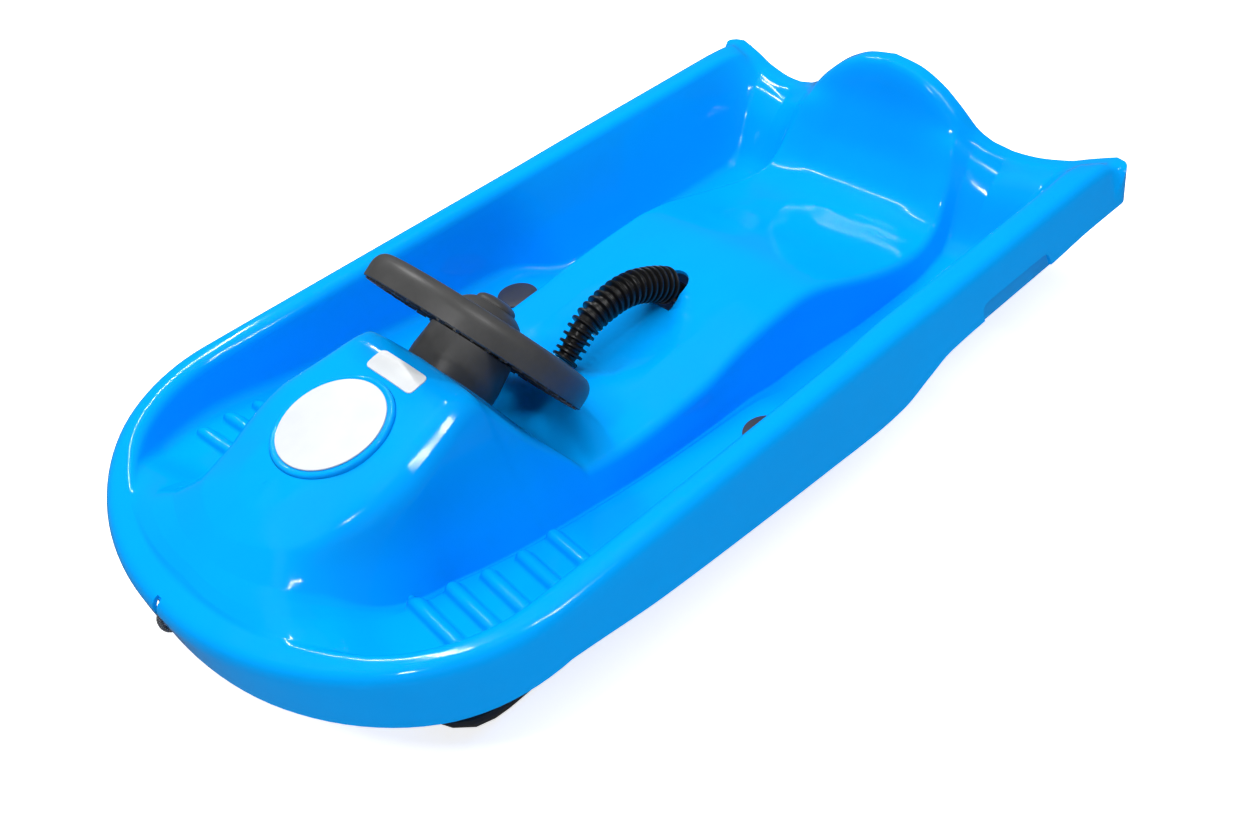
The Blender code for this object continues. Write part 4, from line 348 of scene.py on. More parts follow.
FAN_RIM_OUT = (0.135, 0.1375, 0.14, 0.142, RIM_HEIGHT)
FAN_SKIRT_FLARE = (-0.003, 0.002, 0.0055, 0.009, skirt_flare(NOSE_START))
FAN_SKIRT_BOTTOM = (0.102, 0.0905, 0.09, 0.0905, skirt_bottom(NOSE_START))
FIRST_SECTION = side_keys(NOSE_START)


def fan_curve(values):
    """A smooth curve over the fan's angles, level where it meets the side sections."""
    return smooth_curve(*zip(FAN_ANGLES, values))


def fan_line(degrees):
    """Anchor and outline point of one line of the fan."""
    a = math.radians(degrees)
    anchor = np.array([0.0, NOSE_START - ANCHOR_REACH * math.cos(a)])
    outline = np.array([RIM_HALF_WIDTH * math.sin(a), NOSE_START - NOSE_LENGTH * math.cos(a)])
    return anchor, outline


def fan_keys(degrees):
    """Key points of one fan section as (distance from the anchor, height)."""
    anchor, outline = fan_line(degrees)
    reach = float(np.linalg.norm(outline - anchor))
    keys = [(0.0, fan_curve((*FAN_HEIGHTS[0], FIRST_SECTION[0][1]))(degrees))]
    for fractions, heights, (side_x, side_z) in zip(FAN_FRACTIONS, FAN_HEIGHTS[1:], FIRST_SECTION[1:]):
        share = fan_curve((*fractions, side_x / RIM_HALF_WIDTH))(degrees)
        keys.append((reach * share, fan_curve((*heights, side_z))(degrees)))
    keys.append((reach - RIM_WIDTH + 0.002, fan_curve(FAN_RIM_IN)(degrees)))
    keys.append((reach + 0.002, fan_curve(FAN_RIM_OUT)(degrees)))
    keys.append((reach + fan_curve(FAN_SKIRT_FLARE)(degrees), fan_curve(FAN_SKIRT_BOTTOM)(degrees)))
    return keys


def blended_radii(y):
    """Fillets of a section: softer on the hood than behind the dash."""
    s = smooth_step(y, DASH_TOP_Y - 0.01, DASH_FOOT_Y)
    return [h + (c - h) * s for h, c in zip(HOOD_RADII, CORNER_RADII)]


# Hollow round the brake lever
LEVER_BOWL_DEPTH = 0.01
LEVER_BOWL_CENTRE = 0.02
LEVER_BOWL_HALF_LENGTH = 0.078
LEVER_BOWL_HALF_WIDTH = 0.066


def lever_bowl(x, y):
    """Depth of the drop-shaped hollow in the platform, pointed at its rear."""
    along = (y - LEVER_BOWL_CENTRE) / LEVER_BOWL_HALF_LENGTH
    if abs(along) >= 1:
        return 0.0
    narrowing = 1.0 - 0.55 * smooth_step(along, 0.0, 1.0)
    across = x / (LEVER_BOWL_HALF_WIDTH * narrowing)
    level = 1.0 - along**2 - across**2
    return LEVER_BOWL_DEPTH * smooth_step(level, 0.0, 0.5) if level > 0 else 0.0


def setback(x, y):
    """How far a point of the rear wall stands forward of its station, so the rear edge curves in plan."""
    return rear_setback(x) * smooth_step(y, 0.33, 0.462)


def hull_rows(arc_steps, runs, fan_angles, side_stations, apron_rows):
    """Rows of points over half the top surface: the nose's fan, the side sections, the rear apron."""
    rows = []
    for degrees in fan_angles:
        anchor, outline = fan_line(degrees)
        direction = (outline - anchor) / np.linalg.norm(outline - anchor)
        line = rounded_line(fan_keys(degrees), blended_radii(NOSE_START), arc_steps, runs)
        rows.append([(anchor[0] + direction[0] * d, anchor[1] + direction[1] * d, z) for d, z in line])
    for y in side_stations:
        line = rounded_line(side_keys(y), blended_radii(y), arc_steps, runs)
        to_edge = smooth_step(y, 0.452, 0.47)
        row = []
        for x, z in line[:-1]:
            z += (rear_height(x) - z) * to_edge
            row.append((x, y - setback(x, y), z - lever_bowl(x, y)))
        row.append((line[-1][0], y - setback(line[-1][0], y), line[-1][1]))
        rows.append(row)
    last = rows[-1]
    for k in range(1, apron_rows + 1):
        s = k / apron_rows
        out = HALF_LENGTH - REAR_EDGE
        bulge = out * min(1.0, 3.0 * s)
        rows.append([(x, y + bulge, z + (min(z - 0.002, REAR_SKIRT_BOTTOM) - z) * s) for x, y, z in last])
    return rows


def mirrored_grid(name, rows):
    """A mesh object of the rows and their mirror image, joined along the middle."""
    bm = bmesh.new()
    grid = {}
    for side in (1, -1):
        for i, row in enumerate(rows):
            for j, (x, y, z) in enumerate(row):
                middle = j == 0 or (i == 0 and abs(x) < 1e-9)
                key = (i, j, 1 if middle else side)
                if key not in grid:
                    grid[key] = bm.verts.new((0.0 if middle else side * x, y, z))
    for side in (1, -1):
        def vert(i, j):
            return grid.get((i, j, side)) or grid[(i, j, 1)]

        for i in range(len(rows) - 1):
            for j in range(len(rows[0]) - 1):
                corners = [vert(i, j), vert(i, j + 1), vert(i + 1, j + 1), vert(i + 1, j)]
                faces = [corners]
                if i == 0 and j == 0:
                    faces = [corners[:3], [corners[0], corners[2], corners[3]]]
                for face in faces:
                    bm.faces.new(face if side == -1 else face[::-1])
    return new_object(name, bm)


def new_object(name, bm, matrix=None):
    """Turn a bmesh into an object in the part's frame."""
    mesh = bpy.data.meshes.new(name)
    bmesh.ops.recalc_face_normals(bm, faces=bm.faces)
    bm.to_mesh(mesh)
    bm.free()
    if matrix is not None:
        mesh.transform(matrix)
    obj = bpy.data.objects.new(name, mesh)
    bpy.context.scene.collection.objects.link(obj)
    return obj


def loft(name, loops, matrix=None, closed=False):
    """A solid skinned over loops of points; its ends are capped, or joined when it is closed."""
    bm = bmesh.new()
    rings = [[bm.verts.new(p) for p in loop] for loop in loops]
    count = len(rings[0])
    pairs = list(zip(rings, rings[1:]))
    if closed:
        pairs.append((rings[-1], rings[0]))
    for low, high in pairs:
        for k in range(count):
            n = (k + 1) % count
            bm.faces.new((low[k], low[n], high[n], high[k]))
    if not closed:
        bm.faces.new(rings[0][::-1])
        bm.faces.new(rings[-1])
    return new_object(name, bm, matrix)


def circle(radius, z, segments):
    """Points of a circle at height z."""
    turn = 2 * math.pi / segments
    return [(radius * math.cos(turn * k), radius * math.sin(turn * k), z) for k in range(segments)]


def turned(name, profile, segments, matrix=None):
    """A solid turned round Z from (radius, height) points that run from pole to pole."""
    bm = bmesh.new()
    rings = []
    for radius, z in profile:
        points = [(0.0, 0.0, z)] if radius <= 0 else circle(radius, z, segments)
        rings.append([bm.verts.new(p) for p in points])
    for low, high in zip(rings, rings[1:]):
        for k in range(segments):
            n = (k + 1) % segments
            if len(low) == 1:
                bm.faces.new((low[0], high[n], high[k]))
            elif len(high) == 1:
                bm.faces.new((low[k], low[n], high[0]))
            else:
                bm.faces.new((low[k], low[n], high[n], high[k]))
    return new_object(name, bm, matrix)


def round_bar(name, radius, low, high, segments, matrix):
    """A plain round bar along a matrix's Z."""
    return turned(name, [(0, low), (radius, low), (radius, high), (0, high)], segments, matrix)


def rectangle(low, high):
    """The four corners between two opposite ones."""
    return [low, (high[0], low[1]), high, (low[0], high[1])]


def prism(name, outline, low, high, matrix=None):
    """A flat outline of (x, y) points, given thickness along Z."""
    return loft(name, [[(x, y, z) for x, y in outline] for z in (low, high)], matrix)


def softened(points, radius, steps=4):
    """A closed outline of (x, y) points with rounded corners."""
    out = []
    count = len(points)
    for i in range(count):
        here = np.array(points[i], float)
        back = np.array(points[i - 1], float) - here
        ahead = np.array(points[(i + 1) % count], float) - here
        reach = min(radius, 0.45 * np.linalg.norm(back), 0.45 * np.linalg.norm(ahead))
        start = here + back / np.linalg.norm(back) * reach
        end = here + ahead / np.linalg.norm(ahead) * reach
        for k in range(steps + 1):
            s = k / steps
            out.append(tuple((1 - s) ** 2 * start + 2 * s * (1 - s) * here + s * s * end))
    return out


def combine(target, helpers, operation):
    """Join helpers to a piece, or cut them out of it, and keep the result as plain mesh."""
    for helper in helpers:
        change = target.modifiers.new(helper.name, "BOOLEAN")
        change.operation = operation
        change.solver = "MANIFOLD"
        change.object = helper
    settle(target)
    for helper in helpers:
        bpy.data.objects.remove(helper)


def settle(obj):
    """Apply a piece's modifiers."""
    graph = bpy.context.evaluated_depsgraph_get()
    graph.update()
    obj.data = bpy.data.meshes.new_from_object(obj.evaluated_get(graph), depsgraph=graph)
    obj.modifiers.clear()


def join(target, others):
    """Put the others' faces into a piece's mesh."""
    bm = bmesh.new()
    bm.from_mesh(target.data)
    for other in others:
        bm.from_mesh(other.data)
        bpy.data.objects.remove(other)
    bm.to_mesh(target.data)
    bm.free()


def dress(obj, degrees, material, body, slot, *nodes):
    """Finish a piece: its shading, with edges kept sharp above an angle, its material, and what it
    rides on and stands for."""
    obj.data.shade_smooth()
    obj.data.set_sharp_from_angle(angle=math.radians(degrees))
    obj.data.materials.clear()
    obj.data.materials.append(material)
    if nodes:
        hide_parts(*nodes)
    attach(obj, body)


def new_material(name, roughness, metallic=0.0, specular=0.5):
    """A material and its shader, with the values that are even all over."""
    material = bpy.data.materials.new(name)
    material.use_nodes = True
    shader = material.node_tree.nodes["Principled BSDF"]
    shader.inputs["Roughness"].default_value = roughness
    shader.inputs["Metallic"].default_value = metallic
    shader.inputs["Specular IOR Level"].default_value = specular
    return material, material.node_tree, shader


def noise(tree, scale, detail=3.0, roughness=0.5, stretch=None):
    """A noise over the piece's own coordinates, in features per metre."""
    coordinates = tree.nodes.new("ShaderNodeTexCoord")
    texture = tree.nodes.new("ShaderNodeTexNoise")
    texture.inputs["Scale"].default_value = scale
    texture.inputs["Detail"].default_value = detail
    texture.inputs["Roughness"].default_value = roughness
    source = coordinates.outputs["Object"]
    if stretch:
        mapping = tree.nodes.new("ShaderNodeMapping")
        mapping.inputs["Scale"].default_value = stretch
        tree.links.new(source, mapping.inputs["Vector"])
        source = mapping.outputs["Vector"]
    tree.links.new(source, texture.inputs["Vector"])
    return texture.outputs["Fac"]


def tint(tree, shader, factor, *stops):
    """A base colour that runs over (position, colour) stops with a factor."""
    node = tree.nodes.new("ShaderNodeValToRGB")
    elements = node.color_ramp.elements
    while len(elements) < len(stops):
        elements.new(0.5)
    for element, (position, colour) in zip(elements, stops):
        element.position = position
        element.color = (*colour, 1.0)
    tree.links.new(factor, node.inputs["Fac"])
    tree.links.new(node.outputs["Color"], shader.inputs["Base Color"])


def vary_roughness(tree, shader, factor, low, high):
    """A roughness that runs from low to high with a factor."""
    node = tree.nodes.new("ShaderNodeMapRange")
    node.inputs["From Min"].default_value = 0.3
    node.inputs["From Max"].default_value = 0.7
    node.inputs["To Min"].default_value = low
    node.inputs["To Max"].default_value = high
    tree.links.new(factor, node.inputs["Value"])
    tree.links.new(node.outputs["Result"], shader.inputs["Roughness"])


def math_node(tree, operation, *terms):
    """A calculation on terms, each a number or a socket."""
    node = tree.nodes.new("ShaderNodeMath")
    node.operation = operation
    for socket, term in zip(node.inputs, terms):
        if isinstance(term, float):
            socket.default_value = term
        else:
            tree.links.new(term, socket)
    return node


def bump(tree, shader, height, distance, strength):
    """Small relief, its height in metres, on top of any that the shader has."""
    node = tree.nodes.new("ShaderNodeBump")
    node.inputs["Distance"].default_value = distance
    node.inputs["Strength"].default_value = strength
    tree.links.new(height, node.inputs["Height"])
    normal = shader.inputs["Normal"]
    if normal.links:
        tree.links.new(normal.links[0].from_socket, node.inputs["Normal"])
    tree.links.new(node.outputs["Normal"], normal)


def hull_plastic():
    """Glossy blue polyethylene: faint flow marks, an orange-peel skin and fine scuffs."""
    material, tree, shader = new_material("hull_plastic", 0.08, specular=0.24)
    tint(
        tree, shader, noise(tree, 9.0, 4.0, 0.6, (1.0, 0.35, 1.0)),
        (0.25, (0.0003, 0.33, 0.9)), (0.55, (0.0003, 0.345, 0.93)), (0.8, (0.0004, 0.36, 0.955)),
    )
    vary_roughness(tree, shader, noise(tree, 60.0, 5.0, 0.65), 0.06, 0.11)
    bump(tree, shader, noise(tree, 140.0, 2.0), 0.00012, 0.35)
    bump(tree, shader, noise(tree, 900.0, 3.0, 0.6, (1.0, 0.08, 1.0)), 0.00003, 0.3)
    return material


def grey_plastic(name, dark, light, roughness):
    """Satin moulded plastic with a fine spark-eroded grain and slightly polished patches."""
    material, tree, shader = new_material(name, roughness, specular=0.45)
    tint(tree, shader, noise(tree, 35.0, 4.0, 0.6), (0.3, (dark,) * 3), (0.72, (light,) * 3))
    vary_roughness(tree, shader, noise(tree, 25.0, 4.0), roughness - 0.07, roughness + 0.07)
    bump(tree, shader, noise(tree, 2200.0, 2.0, 0.7), 0.00005, 0.4)
    bump(tree, shader, noise(tree, 60.0, 2.0), 0.0002, 0.15)
    return material


def label_film():
    """Bare white label film, laminated and very slightly uneven."""
    material, tree, shader = new_material("label_film", 0.32, specular=0.5)
    tint(tree, shader, noise(tree, 30.0, 3.0), (0.3, (0.62, 0.65, 0.68)), (0.7, (0.68, 0.71, 0.73)))
    bump(tree, shader, noise(tree, 80.0, 2.0), 0.0001, 0.2)
    return material


def zinc_steel():
    """Zinc-plated steel, drawn along its length, with a cloudy passivated finish."""
    material, tree, shader = new_material("zinc_steel", 0.32, metallic=1.0)
    tint(tree, shader, noise(tree, 70.0, 4.0), (0.3, (0.44, 0.45, 0.46)), (0.7, (0.62, 0.62, 0.61)))
    vary_roughness(tree, shader, noise(tree, 120.0, 4.0), 0.25, 0.42)
    bump(tree, shader, noise(tree, 1500.0, 2.0, 0.5, (1.0, 1.0, 0.05)), 0.00002, 0.5)
    return material


def white_plastic():
    """Natural acetal of the bushes."""
    material, tree, shader = new_material("white_plastic", 0.4)
    tint(tree, shader, noise(tree, 90.0, 3.0), (0.3, (0.74, 0.75, 0.73)), (0.7, (0.82, 0.83, 0.81)))
    return material


def braid():
    """Braided polyester: strands that cross each other along the cord, light grey, with painted shade that
    darkens the hollows between them.
    """
    material, tree, shader = new_material("cord_braid", 0.8, specular=0.2)
    uv = tree.nodes.new("ShaderNodeUVMap")
    strands = []
    for slant in (1.0, -1.0):
        mapping = tree.nodes.new("ShaderNodeMapping")
        mapping.inputs["Scale"].default_value = (260.0, 4.0 * slant, 1.0)
        wave = tree.nodes.new("ShaderNodeTexWave")
        wave.bands_direction = "DIAGONAL"
        wave.inputs["Scale"].default_value = 1.0
        tree.links.new(uv.outputs["UV"], mapping.inputs["Vector"])
        tree.links.new(mapping.outputs["Vector"], wave.inputs["Vector"])
        strands.append(wave.outputs["Fac"])
    height = math_node(tree, "MULTIPLY", *strands).outputs["Value"]
    # Colour follows the braid's relief: light on the strands, painted shade nearly black in the hollows
    # between them
    tint(
        tree, shader, height,
        (0.05, (0.03, 0.03, 0.035)), (0.35, (0.16, 0.17, 0.18)), (0.8, (0.42, 0.43, 0.44)),
    )
    bump(tree, shader, height, 0.0006, 0.8)
    return material


BLUE = hull_plastic()
GREY = grey_plastic("grey_plastic", 0.048, 0.064, 0.42)
DARK = grey_plastic("dark_plastic", 0.036, 0.046, 0.45)
BLACK = grey_plastic("black_plastic", 0.006, 0.01, 0.34)
LABEL = label_film()
STEEL = zinc_steel()
WHITE = white_plastic()
CORD = braid()

steer_matrix = Matrix.Translation((0.0, -0.1395, 0.1853)) @ Matrix.Rotation(math.radians(-57.0), 4, "X")
reel_matrix = Matrix.Translation((0.0, -0.2965, 0.188)) @ Matrix.Rotation(math.radians(10.0), 4, "X")
brake_matrix = Matrix.Translation((0.0, 0.1, 0.083))
ROOT = 0.5 * WALL

# Hull, on a fine grid of the same sections
RUNS = (4, 6, 5, 3, 1, 6, 5, 3, 5)


def fine_stations():
    """Places of the hull's cross-sections: closer together where the form turns quickly."""
    stations = []
    y = NOSE_START
    while y < REAR_EDGE - 0.001:
        stations.append(y)
        quick_turn = -0.225 < y < -0.115 or y > 0.372
        y += 0.003 if quick_turn else 0.007
    return stations + [REAR_EDGE]


def make_skin(name, arc_steps, runs, fan_step):
    """The hull's top surface as one grid."""
    fan = [fan_step * k for k in range(int(90 / fan_step))]
    return mirrored_grid(name, hull_rows(arc_steps, runs, fan, fine_stations(), 6))


def surface(obj):
    """A piece's faces, to find where a line meets them."""
    mesh = obj.data
    return BVHTree.FromPolygons([v.co[:] for v in mesh.vertices], [p.vertices[:] for p in mesh.polygons])


hull = make_skin("hull_skin", 6, RUNS, 3.0)
skin = surface(hull)


def skin_height(x, y):
    """Height of the hull's top surface at a place."""
    return skin.ray_cast(Vector((x, y, 1.0)), Vector((0, 0, -1)))[0].z


wall = hull.modifiers.new("wall", "SOLIDIFY")
wall.thickness = WALL
wall.offset = -1.0
wall.use_even_offset = True
wall.use_quality_normals = True
settle(hull)
both_skins = surface(hull)


def sleeve_outline(radius, flat, z):
    """A circle with its top side cut flat."""
    return [(x, max(y, -flat), z) for x, y, z in circle(radius, z, 96)]


# The lever's slot, and the hand holds with the wall behind them
SLOT_HALF = 0.019
SLOT_FRONT = 0.063
SLOT_REAR = 0.106
SLOT_TAIL = 0.024
HOLD_CORNERS = ((0.225, 0.08), (0.335, 0.1095))
HOLD_CUT_X = (0.245, 0.29)
HOLD_WALL_CORNERS = ((0.25, 0.073), (0.253, 0.136))
HOLD_WALL_Y = (0.214, 0.366)


def slot_outline():
    """The lever's slot: straight at the front, drawn to a round end at the rear."""
    tail = SLOT_REAR - SLOT_TAIL
    points = [(-SLOT_HALF, SLOT_FRONT), (SLOT_HALF, SLOT_FRONT)]
    for k in range(25):
        a = math.pi * k / 24
        points.append((SLOT_HALF * math.cos(a), tail + (SLOT_REAR - tail) * math.sin(a)))
    return points


def hand_slot(side):
    """Cutter for the hand hold in a side skirt."""
    outline = softened(rectangle(*HOLD_CORNERS), 0.01)
    return loft(f"hand_slot_{side}", [[(side * x, y, z) for y, z in outline] for x in HOLD_CUT_X])


def hand_slot_back(side):
    """The wall behind a hand hold, which hangs from the rim a little lower than the skirt."""
    outline = rectangle(*HOLD_WALL_CORNERS)
    return loft(f"hand_slot_back_{side}", [[(side * x, y, z) for x, z in outline] for y in HOLD_WALL_Y])


nose_slit = softened(rectangle((-0.0032, -0.492), (0.0032, -0.474)), 0.001)
hull_cuts = [
    loft("column_opening", [sleeve_outline(0.0433, 0.0408, z) for z in (-0.01, -0.072)], steer_matrix),
    round_bar("cover_opening", 0.0543, -0.045, 0.03, 128, reel_matrix),
    prism("brake_slot", slot_outline(), 0.08, 0.13),
    prism("nose_slit", nose_slit, 0.095, 0.1375),
    hand_slot(1),
    hand_slot(-1),
]
combine(hull, hull_cuts, "DIFFERENCE")

# Moulded ribs of the footrests, flared where they grow out of the floor: each one's place along the
# sled and inner end, and the shape that all share, in half widths and heights
RIB_HALF_WIDTH = 0.0072
RIB_HEIGHT = 0.0085
RIB_ROOT = 0.002
RIB_SLANT = 0.007
RIB_TO_RIM = 0.0455
RIB_INNER_END = 0.009
RIB_OUTER_END = 0.016
RIB_STATIONS = ((-0.205, 0.132), (-0.24, 0.1355), (-0.275, 0.134), (-0.305, 0.127), (-0.335, 0.118))
RIB_SHAPE = (
    (-1.5, -0.5), (1.5, -0.5), (1.42, -0.02), (1.18, 0.08), (1.0, 0.28), (0.88, 0.54), (0.68, 0.79),
    (0.38, 0.96), (0.0, 1.02), (-0.38, 0.96), (-0.68, 0.79), (-0.88, 0.54), (-1.0, 0.28), (-1.18, 0.08),
    (-1.42, -0.02),
)


def footrest_rib(side, y, inner):
    """One raised rib with rounded ends, clear of the outer wall."""
    ahead = min(0.0, y - NOSE_START) / NOSE_LENGTH
    outer = RIM_HALF_WIDTH * math.sqrt(1 - ahead**2) - RIB_TO_RIM
    loops = []
    for k in range(41):
        along = 0.5 - 0.5 * math.cos(math.pi * k / 40)
        x = inner + (outer - inner) * along
        from_end = min(1.0, (x - inner + 0.0001) / RIB_INNER_END, (outer - x + 0.0001) / RIB_OUTER_END)
        share = math.sqrt(1 - (1 - from_end) ** 2)
        middle = y + 0.5 * RIB_SLANT - RIB_SLANT * along
        loop = []
        for a, b in RIB_SHAPE:
            place = (side * x, middle + RIB_HALF_WIDTH * max(share, 0.05) * a)
            loop.append((*place, skin_height(*place) + (RIB_HEIGHT * share if b > 0 else RIB_ROOT) * b))
        loops.append(loop)
    return loft(f"rib_{side}_{y}", loops)


# Keels: their distance from the middle, half their width at the foot and above, and where the foot ends
KEEL_X = 0.158
KEEL_HALF_WIDTHS = (0.005, 0.01)
KEEL_TAPER_HEIGHT = 0.02


def keel(side):
    """A runner under a well."""
    foot, upper = KEEL_HALF_WIDTHS
    outline = [
        (-0.02, 0.012), (0.002, 0.0), (0.328, 0.0), (0.35, 0.012), (0.35, WELL_FLOOR - ROOT),
        (0.105, WELL_FLOOR - ROOT), (0.03, FOOTREST_HEIGHT - ROOT - 0.0012),
        (-0.02, FOOTREST_HEIGHT - ROOT),
    ]
    halves = [foot if z < KEEL_TAPER_HEIGHT else upper for y, z in outline]
    return loft(f"keel_{side}", [
        [(side * (KEEL_X + face * half), y, z) for (y, z), half in zip(outline, halves)] for face in (-1, 1)
    ])


def axle_beam():
    """The cross-beam under the hood, with the boss for the lower bush."""
    loops = []
    for z in (-0.119, -0.114):
        loop = []
        for way, y in rectangle((-1, -0.018), (1, 0.018)):
            start = steer_matrix @ Vector((0.0, y, z))
            reach = both_skins.ray_cast(start, Vector((way, 0, 0)))[0].x
            loop.append((reach + way * ROOT, y, z))
        loops.append(loop)
    beam = loft("axle_beam", loops, steer_matrix)
    boss = round_bar("axle_boss", 0.015, -0.1235, -0.1095, 48, steer_matrix)
    bore = round_bar("axle_bore", BUSH_BORE, -0.136, -0.096, 48, steer_matrix)
    combine(beam, [boss], "UNION")
    combine(beam, [bore], "DIFFERENCE")
    return beam


def kingpin_boss(side):
    """The boss that holds a kingpin."""
    x, y = side * 0.15, -0.2845
    matrix = Matrix.Translation((x, y, 0.0))
    boss = round_bar(f"kingpin_boss_{side}", 0.011, 0.0685, skin_height(x, y) - ROOT, 48, matrix)
    hole = round_bar(f"kingpin_hole_{side}", PIN_BORE, 0.06, 0.0833, 32, matrix)
    combine(boss, [hole], "DIFFERENCE")
    return boss


def cheek(side):
    """One of the two lugs that carry the brake's pin."""
    low, high = sorted((side * 0.02, side * 0.024))
    corners = rectangle((low, 0.086), (high, 0.114))
    lug = loft(f"cheek_{side}", [
        [(x, y, 0.073) for x, y in corners], [(x, y, skin_height(x, y) - ROOT) for x, y in corners]
    ])
    hole = cross_bar(f"pin_hole_{side}", PIN_BORE, 0.04, 32)
    combine(lug, [hole], "DIFFERENCE")
    return lug


def cross_bar(name, radius, half, segments):
    """A round bar along X through the brake's pivot."""
    ring = circle(radius, 0.0, segments)
    return loft(name, [[(x, y, z) for y, z, _ in ring] for x in (-half, half)], brake_matrix)


extras = [footrest_rib(side, y, inner) for y, inner in RIB_STATIONS for side in (-1, 1)]
extras += [form(side) for form in (keel, kingpin_boss, cheek, hand_slot_back) for side in (-1, 1)]
extras.append(axle_beam())
extras.append(prism("slit_web", rectangle((-0.006, -0.4752), (0.006, -0.4732)), 0.1238, 0.1335))
join(hull, extras)
dress(hull, 40.0, BLUE, "hull", "blue_plastic", "hull_shell")

# Reel cover with its raised, rounded rim, and the bare labels
cover = turned("cover_disc", [
    (0, -0.003), (0.0512, -0.003), (0.0512, -0.026), (0.054, -0.026), (0.054, -0.0022),
    (0.0538, -0.001), (0.0532, 0.0), (0.0524, 0.0006), (0.0512, 0.0008), (0.05, 0.0006),
    (0.0492, 0.0002), (0.0488, 0.0), (0, 0.0),
], 128, reel_matrix)
dress(cover, 30.0, BLUE, "hull", "blue_plastic", "reel_cover")

cover_label = turned("cover_label_disc", [
    (0, 0.0003), (0.0478, 0.0003), (0.0478, 0.0012), (0.0475, 0.0015), (0, 0.0015)
], 128, reel_matrix)
dress(cover_label, 30.0, LABEL, "hull", "label_white", "cover_label")

# The hood's label: half its width and its ends along the sled
LABEL_HALF = 0.0315
LABEL_FRONT = -0.238
LABEL_REAR = -0.217


def hood_label():
    """The bare label on the hood, which follows the hood's curve."""
    outline = softened(rectangle((-LABEL_HALF, LABEL_FRONT), (LABEL_HALF, LABEL_REAR)), 0.006, 6)
    bm = bmesh.new()
    for x, y in outline:
        bm.verts.new((x, y, 0.0))
    bm.faces.new(bm.verts)
    cuts = [((-LABEL_HALF + 0.00315 * k, 0, 0), (1, 0, 0)) for k in range(1, 20)]
    cuts += [((0, LABEL_FRONT + 0.0035 * k, 0), (0, 1, 0)) for k in range(1, 6)]
    for place, normal in cuts:
        everything = bm.verts[:] + bm.edges[:] + bm.faces[:]
        bmesh.ops.bisect_plane(bm, geom=everything, plane_co=place, plane_no=normal, dist=1e-7)
    grown = bmesh.ops.extrude_face_region(bm, geom=bm.faces[:])
    upper = {v for v in grown["geom"] if isinstance(v, bmesh.types.BMVert)}
    for v in bm.verts:
        v.co.z = skin_height(v.co.x, v.co.y) + (0.0009 if v in upper else -0.0002)
    return new_object("hood_label", bm)


label = hood_label()
dress(label, 30.0, LABEL, "hull", "label_white", "data_label")

# Steering column's sleeve
SLEEVE_OUTSIDE = (
    (0.043, 0.0405, -0.061), (0.043, 0.0405, -0.04), (0.0427, 0.0404, -0.037),
    (0.0404, 0.04, -0.0155), (0.04, 0.0398, -0.014), (0.039, 0.0388, -0.0135),
)
SLEEVE_INSIDE = ((0.04, 0.0375, -0.055), (0.04, 0.0375, -0.04), (0.037, 0.0366, -0.012))
sleeve = loft("column_cover", [sleeve_outline(*ring) for ring in SLEEVE_OUTSIDE], steer_matrix)
sleeve_hollow = loft("sleeve_hollow", [sleeve_outline(*ring) for ring in SLEEVE_INSIDE], steer_matrix)
sleeve_bore = round_bar("sleeve_bore", BUSH_BORE, -0.07, -0.05, 48, steer_matrix)
combine(sleeve, [sleeve_hollow, sleeve_bore], "DIFFERENCE")
dress(sleeve, 30.0, GREY, "hull", "grey_plastic", "column_sleeve")

# Steering wheel
WHEEL_OUT, WHEEL_IN, WHEEL_DEPTH = 0.109, 0.087, 0.0128
WHEEL_RIBS = 42
WHEEL_RIB_HALF, WHEEL_RIB_RADIUS = 0.0011, 0.097


def wheel_section(floor):
    """Outline of the wheel's bar as (radius, height): a rounded face over an open channel."""
    middle = 0.5 * (WHEEL_OUT + WHEEL_IN)
    half = 0.5 * (WHEEL_OUT - WHEEL_IN)
    points = []
    for k in range(19):
        a = math.pi * k / 18
        bulge = math.cos(a)
        points.append((middle + half * bulge, -0.002 + (WHEEL_DEPTH + 0.002) * math.sin(a) ** 0.9))
    wall_in, wall_out = WHEEL_IN + 0.0028, WHEEL_OUT - 0.0028
    lip = -WHEEL_DEPTH
    points += [
        (WHEEL_IN + 0.0002, lip + 0.0006), (WHEEL_IN + 0.0009, lip), (wall_in - 0.0006, lip),
        (wall_in, lip + 0.0006), (wall_in, min(floor, 0.003)), (wall_in + 0.003, floor),
        (wall_out - 0.003, floor), (wall_out, min(floor, 0.003)), (wall_out, lip + 0.0006),
        (wall_out + 0.0006, lip), (WHEEL_OUT - 0.0009, lip), (WHEEL_OUT - 0.0002, lip + 0.0006),
    ]
    return points


def wheel_ring():
    """The wheel's rim with its cross ribs."""
    loops = []
    half = WHEEL_RIB_HALF / WHEEL_RIB_RADIUS
    beside = half + 0.006
    open_floor, rib_floor = 0.0068, -WHEEL_DEPTH - 0.0015
    for rib in range(WHEEL_RIBS):
        middle = 2 * math.pi * (rib + 0.5) / WHEEL_RIBS
        stations = [
            (-beside, open_floor), (-half - 0.0005, open_floor), (-half, rib_floor),
            (half, rib_floor), (half + 0.0005, open_floor), (beside, open_floor),
        ]
        gap = 2 * math.pi / WHEEL_RIBS - 2 * beside
        stations += [(beside + gap * k / 4, open_floor) for k in (1, 2, 3)]
        for offset, floor in stations:
            c, s = math.cos(middle + offset), math.sin(middle + offset)
            loops.append([(r * c, r * s, z) for r, z in wheel_section(floor)])
    return loft("wheel", loops, steer_matrix, closed=True)


# Each spoke's direction and its half width at the hub and at the rim
SPOKES = ((0.0, 0.022, 0.017), (math.pi, 0.022, 0.017), (0.5 * math.pi, 0.026, 0.036))


